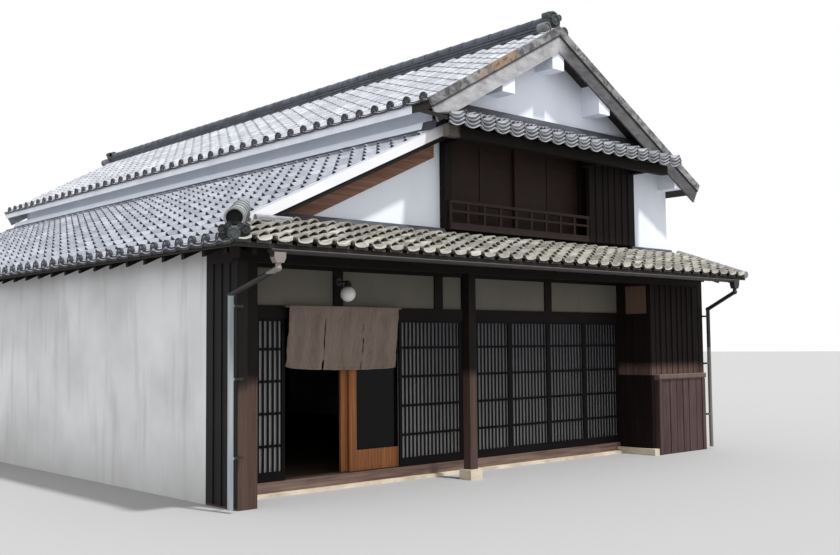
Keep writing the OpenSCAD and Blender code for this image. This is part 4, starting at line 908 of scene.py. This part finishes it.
noren = {"left": 0.8, "right": 2.347, "rodY": 0.524, "rodZ": 2.0, "sleeve": 0.0135, "wrapFrom": 190, "wrapTurn": 290,
         "under": 0.004, "hemZ": 1.345, "longer": 0.03, "belly": 0.034, "lean": 0.115, "leanShare": (0.85, 0.3),
         "doorY": 0.624, "columns": 60, "rows": 38, "wrapRows": 7, "slits": (19, 40), "slitRow": 26,
         "folds": ((0.013, 5.3, 0.4), (0.012, 9.1, 2.1), (0.009, 15.7, 4.0)), "swell": (0.012, 3, 0.6),
         "frames": 46, "settling": 0.06, "thick": 0.0014}
sleeveRow = noren["rows"] - noren["wrapRows"]
linen = {"quality": 8, "mass": 0.002, "tension_stiffness": 40, "compression_stiffness": 40, "shear_stiffness": 12,
         "bending_stiffness": 0.35, "air_damping": 3, "vertex_group_mass": "rod"}
norenLook = {"dark": (144, 125, 111), "light": (162, 143, 129), "faded": (172, 154, 141), "seam": (108, 91, 80),
             "hem": (0.028, 0.034), "sideSeam": (0.006, 0.0085), "seamTop": 0.68, "threads": (1550, 780, 1)}


def norenFinish():  # open plain weave with seams along the hem, the sides and the slits
    own, look = Finish("noren_cloth"), norenLook
    web = own.node("ShaderNodeUVMap", {"uv_map": "cloth"})
    u, v = own.separate(web)[:2]
    turns = own.node("ShaderNodeVectorMath", {"operation": "MULTIPLY"}, {0: web, 1: look["threads"]})
    fine = own.node("ShaderNodeTexNoise", {}, {"Vector": turns, "Scale": 0.5, "Detail": 1.0})
    warp, weft = (own.node("ShaderNodeTexWave", {"bands_direction": along},
                           {"Vector": web, "Scale": scale, "Distortion": 0.4})
                  for along, scale in (("X", 150.0), ("Y", 75.0)))
    colour = own.mix(own.between(own.noise(1.0, 3, (26, 26, 5)), 0.3, 0.7), look["dark"], look["light"])
    colour = own.stain(own.noise(2.4, 3), 0.4, 0.7, 0.4, colour, look["faded"])
    colour = own.stain(fine, 0.35, 0.7, 0.25, colour, look["dark"])
    seams = (v > look["hem"][0]) * (v < look["hem"][1])
    near, far = look["sideSeam"]
    for column in (0, *noren["slits"], noren["columns"]):
        away = (u - column / noren["columns"]).math("ABSOLUTE")
        seams = seams.math("MAXIMUM", (away > near) * (away < far) * (v < look["seamTop"]))
    colour = own.mix(seams * 0.5, colour, look["seam"])
    own.surface.inputs["Sheen Weight"].default_value = 0.2
    return own.done(colour, 0.9, warp + weft + fine * 0.5 - seams * 2, 0.0009, 0.5)


def norenPlace(u, v):  # v runs from the hem, 0, to the end of the sleeve, 1
    row = v * noren["rows"]
    x = noren["left"] + u * (noren["right"] - noren["left"])
    if row > sleeveRow - 0.5:  # round the rod, from its street side over the top to its back
        angle = math.radians(noren["wrapFrom"] - noren["wrapTurn"] * (row - sleeveRow) / noren["wrapRows"])
        return Vector((x, noren["rodY"] + noren["sleeve"] * math.cos(angle),
                       noren["rodZ"] + noren["sleeve"] * math.sin(angle)))
    down = 1 - row / sleeveRow
    wave = sum(size * math.sin(turns * math.pi * u + phase) for size, turns, phase in noren["folds"])
    size, turns, phase = noren["swell"]  # grows towards the hem
    wave += size * math.sin(turns * math.pi * u + phase) * down
    start = Vector((x, noren["rodY"] - noren["sleeve"], noren["rodZ"] - noren["under"]))
    length = start.z - noren["hemZ"] + noren["longer"] * u + noren["belly"] * math.sin(math.pi * u) ** 0.5
    least, more = noren["leanShare"]
    lean = noren["lean"] * (least + more * u)
    spot = start + Vector((0, lean * down * length + wave * min(1, down * 6), -down * length))
    spot.y = min(spot.y, noren["doorY"])
    return spot


bm = bmesh.new()
bm.loops.layers.uv.new("cloth")
bmesh.ops.create_grid(bm, x_segments=noren["columns"], y_segments=noren["rows"], size=0.5, calc_uvs=True)
slitX = [column / noren["columns"] - 0.5 for column in noren["slits"]]
slitY = noren["slitRow"] / noren["rows"] - 0.5
torn = [edge for edge in bm.edges
        if all(vert.co.y < slitY + 0.001 and any(abs(vert.co.x - x) < 0.001 for x in slitX) for vert in edge.verts)]
bmesh.ops.split_edges(bm, edges=torn)
bm.verts.index_update()
held = [vert.index for vert in bm.verts if vert.co.y + 0.5 > (sleeveRow - 0.5) / noren["rows"]]
for vert in bm.verts:
    vert.co = norenPlace(vert.co.x + 0.5, vert.co.y + 0.5)
bmesh.ops.translate(bm, verts=bm.verts, vec=shift)
mesh = meshOf(bm, "noren_sheet")
sheet = addObject("noren_sheet", mesh)
grip = sheet.vertex_groups.new(name="rod")
grip.add(held, 1.0, "REPLACE")
cloth = sheet.modifiers.new("hang", "CLOTH")
for key, value in linen.items():
    setattr(cloth.settings, key, value)
cloth.collision_settings.use_collision = False
cloth.point_cache.frame_start, cloth.point_cache.frame_end = 1, noren["frames"]
kept = scene.gravity.copy()
scene.gravity = (0, 9.81 * noren["lean"], -9.81)
for step in range(1, noren["frames"] + 1):
    scene.frame_set(step)
settled = bpy.data.meshes.new_from_object(sheet.evaluated_get(bpy.context.evaluated_depsgraph_get()))
for before, after in zip(mesh.vertices, settled.vertices):
    move = after.co - before.co
    before.co += move if move.length < noren["settling"] else move.normalized() * noren["settling"]
    before.co.y = min(before.co.y, shift.y + noren["doorY"])
sheet.modifiers.remove(cloth)
bpy.data.meshes.remove(settled)
scene.gravity = kept
scene.frame_set(1)
bm = bmesh.new()
bm.from_mesh(mesh)
bmesh.ops.subdivide_edges(bm, edges=bm.edges, cuts=1, use_grid_fill=True, smooth=0.6)
bmesh.ops.solidify(bm, geom=bm.faces, thickness=noren["thick"])
bmesh.ops.recalc_face_normals(bm, faces=bm.faces)
bm.to_mesh(mesh)
bm.free()
mesh.materials.append(norenFinish())
mesh.shade_smooth()
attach(sheet, "house")
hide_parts("noren")
print("door curtain")


# Stage, light and camera

bm = bmesh.new()
bmesh.ops.create_grid(bm, x_segments=1, y_segments=1, size=150)
floor = addObject("floor", meshOf(bm, "floor"))
own = Finish("floor_pale")
floor.data.materials.append(own.done(own.mix(own.noise(0.15, 2) * 0.3, (200, 200, 200), (192, 192, 192)), 0.9))

# Each sun has its strength, the degrees that it spreads over and where it stands
light = {"sky": 1.03, "sun": (3.8, 4, (0.2, -1, 2.0)), "fill": (0.5, 40, (-1, 0.1, 0.1))}
scene.world = world = bpy.data.worlds.new("studio")
world.use_nodes = True
sky = world.node_tree.nodes["Background"]
path = world.node_tree.nodes.new("ShaderNodeLightPath")
seen = Wire(path.outputs["Is Camera Ray"]) + Wire(path.outputs["Is Glossy Ray"]) \
    + Wire(path.outputs["Is Transmission Ray"])
sky.inputs["Color"].default_value = (1, 1, 1, 1)
plug((seen * (1 - light["sky"]) + light["sky"]).math("MINIMUM", 1.0), sky.inputs["Strength"])
for name in ("sun", "fill"):  # the fill stands for the light off the roofs on the left
    strength, spread, stands = light[name]
    sun = addObject(name, bpy.data.lights.new(name, "SUN"))
    sun.data.energy = strength
    sun.data.angle = math.radians(spread)
    sun.rotation_mode = "QUATERNION"
    sun.rotation_quaternion = Vector(stands).to_track_quat("Z", "Y")

view = {"from": (-5.565, -8.556, 1.57), "yaw": 42.31, "pitch": 3.773, "roll": -0.536, "lens": 44.04, "film": 36,
        "far": 400}
camera = addObject("camera", bpy.data.cameras.new("camera"))
camera.data.lens = view["lens"]
camera.data.sensor_width = view["film"]
camera.data.clip_end = view["far"]
camera.matrix_world = (Matrix.Translation(Vector(view["from"]) + shift)
                       @ Matrix.Rotation(math.radians(-view["yaw"]), 4, "Z")
                       @ Matrix.Rotation(math.radians(90 + view["pitch"]), 4, "X")
                       @ Matrix.Rotation(math.radians(view["roll"]), 4, "Z"))
scene.camera = camera
scene.view_settings.view_transform = "Standard"
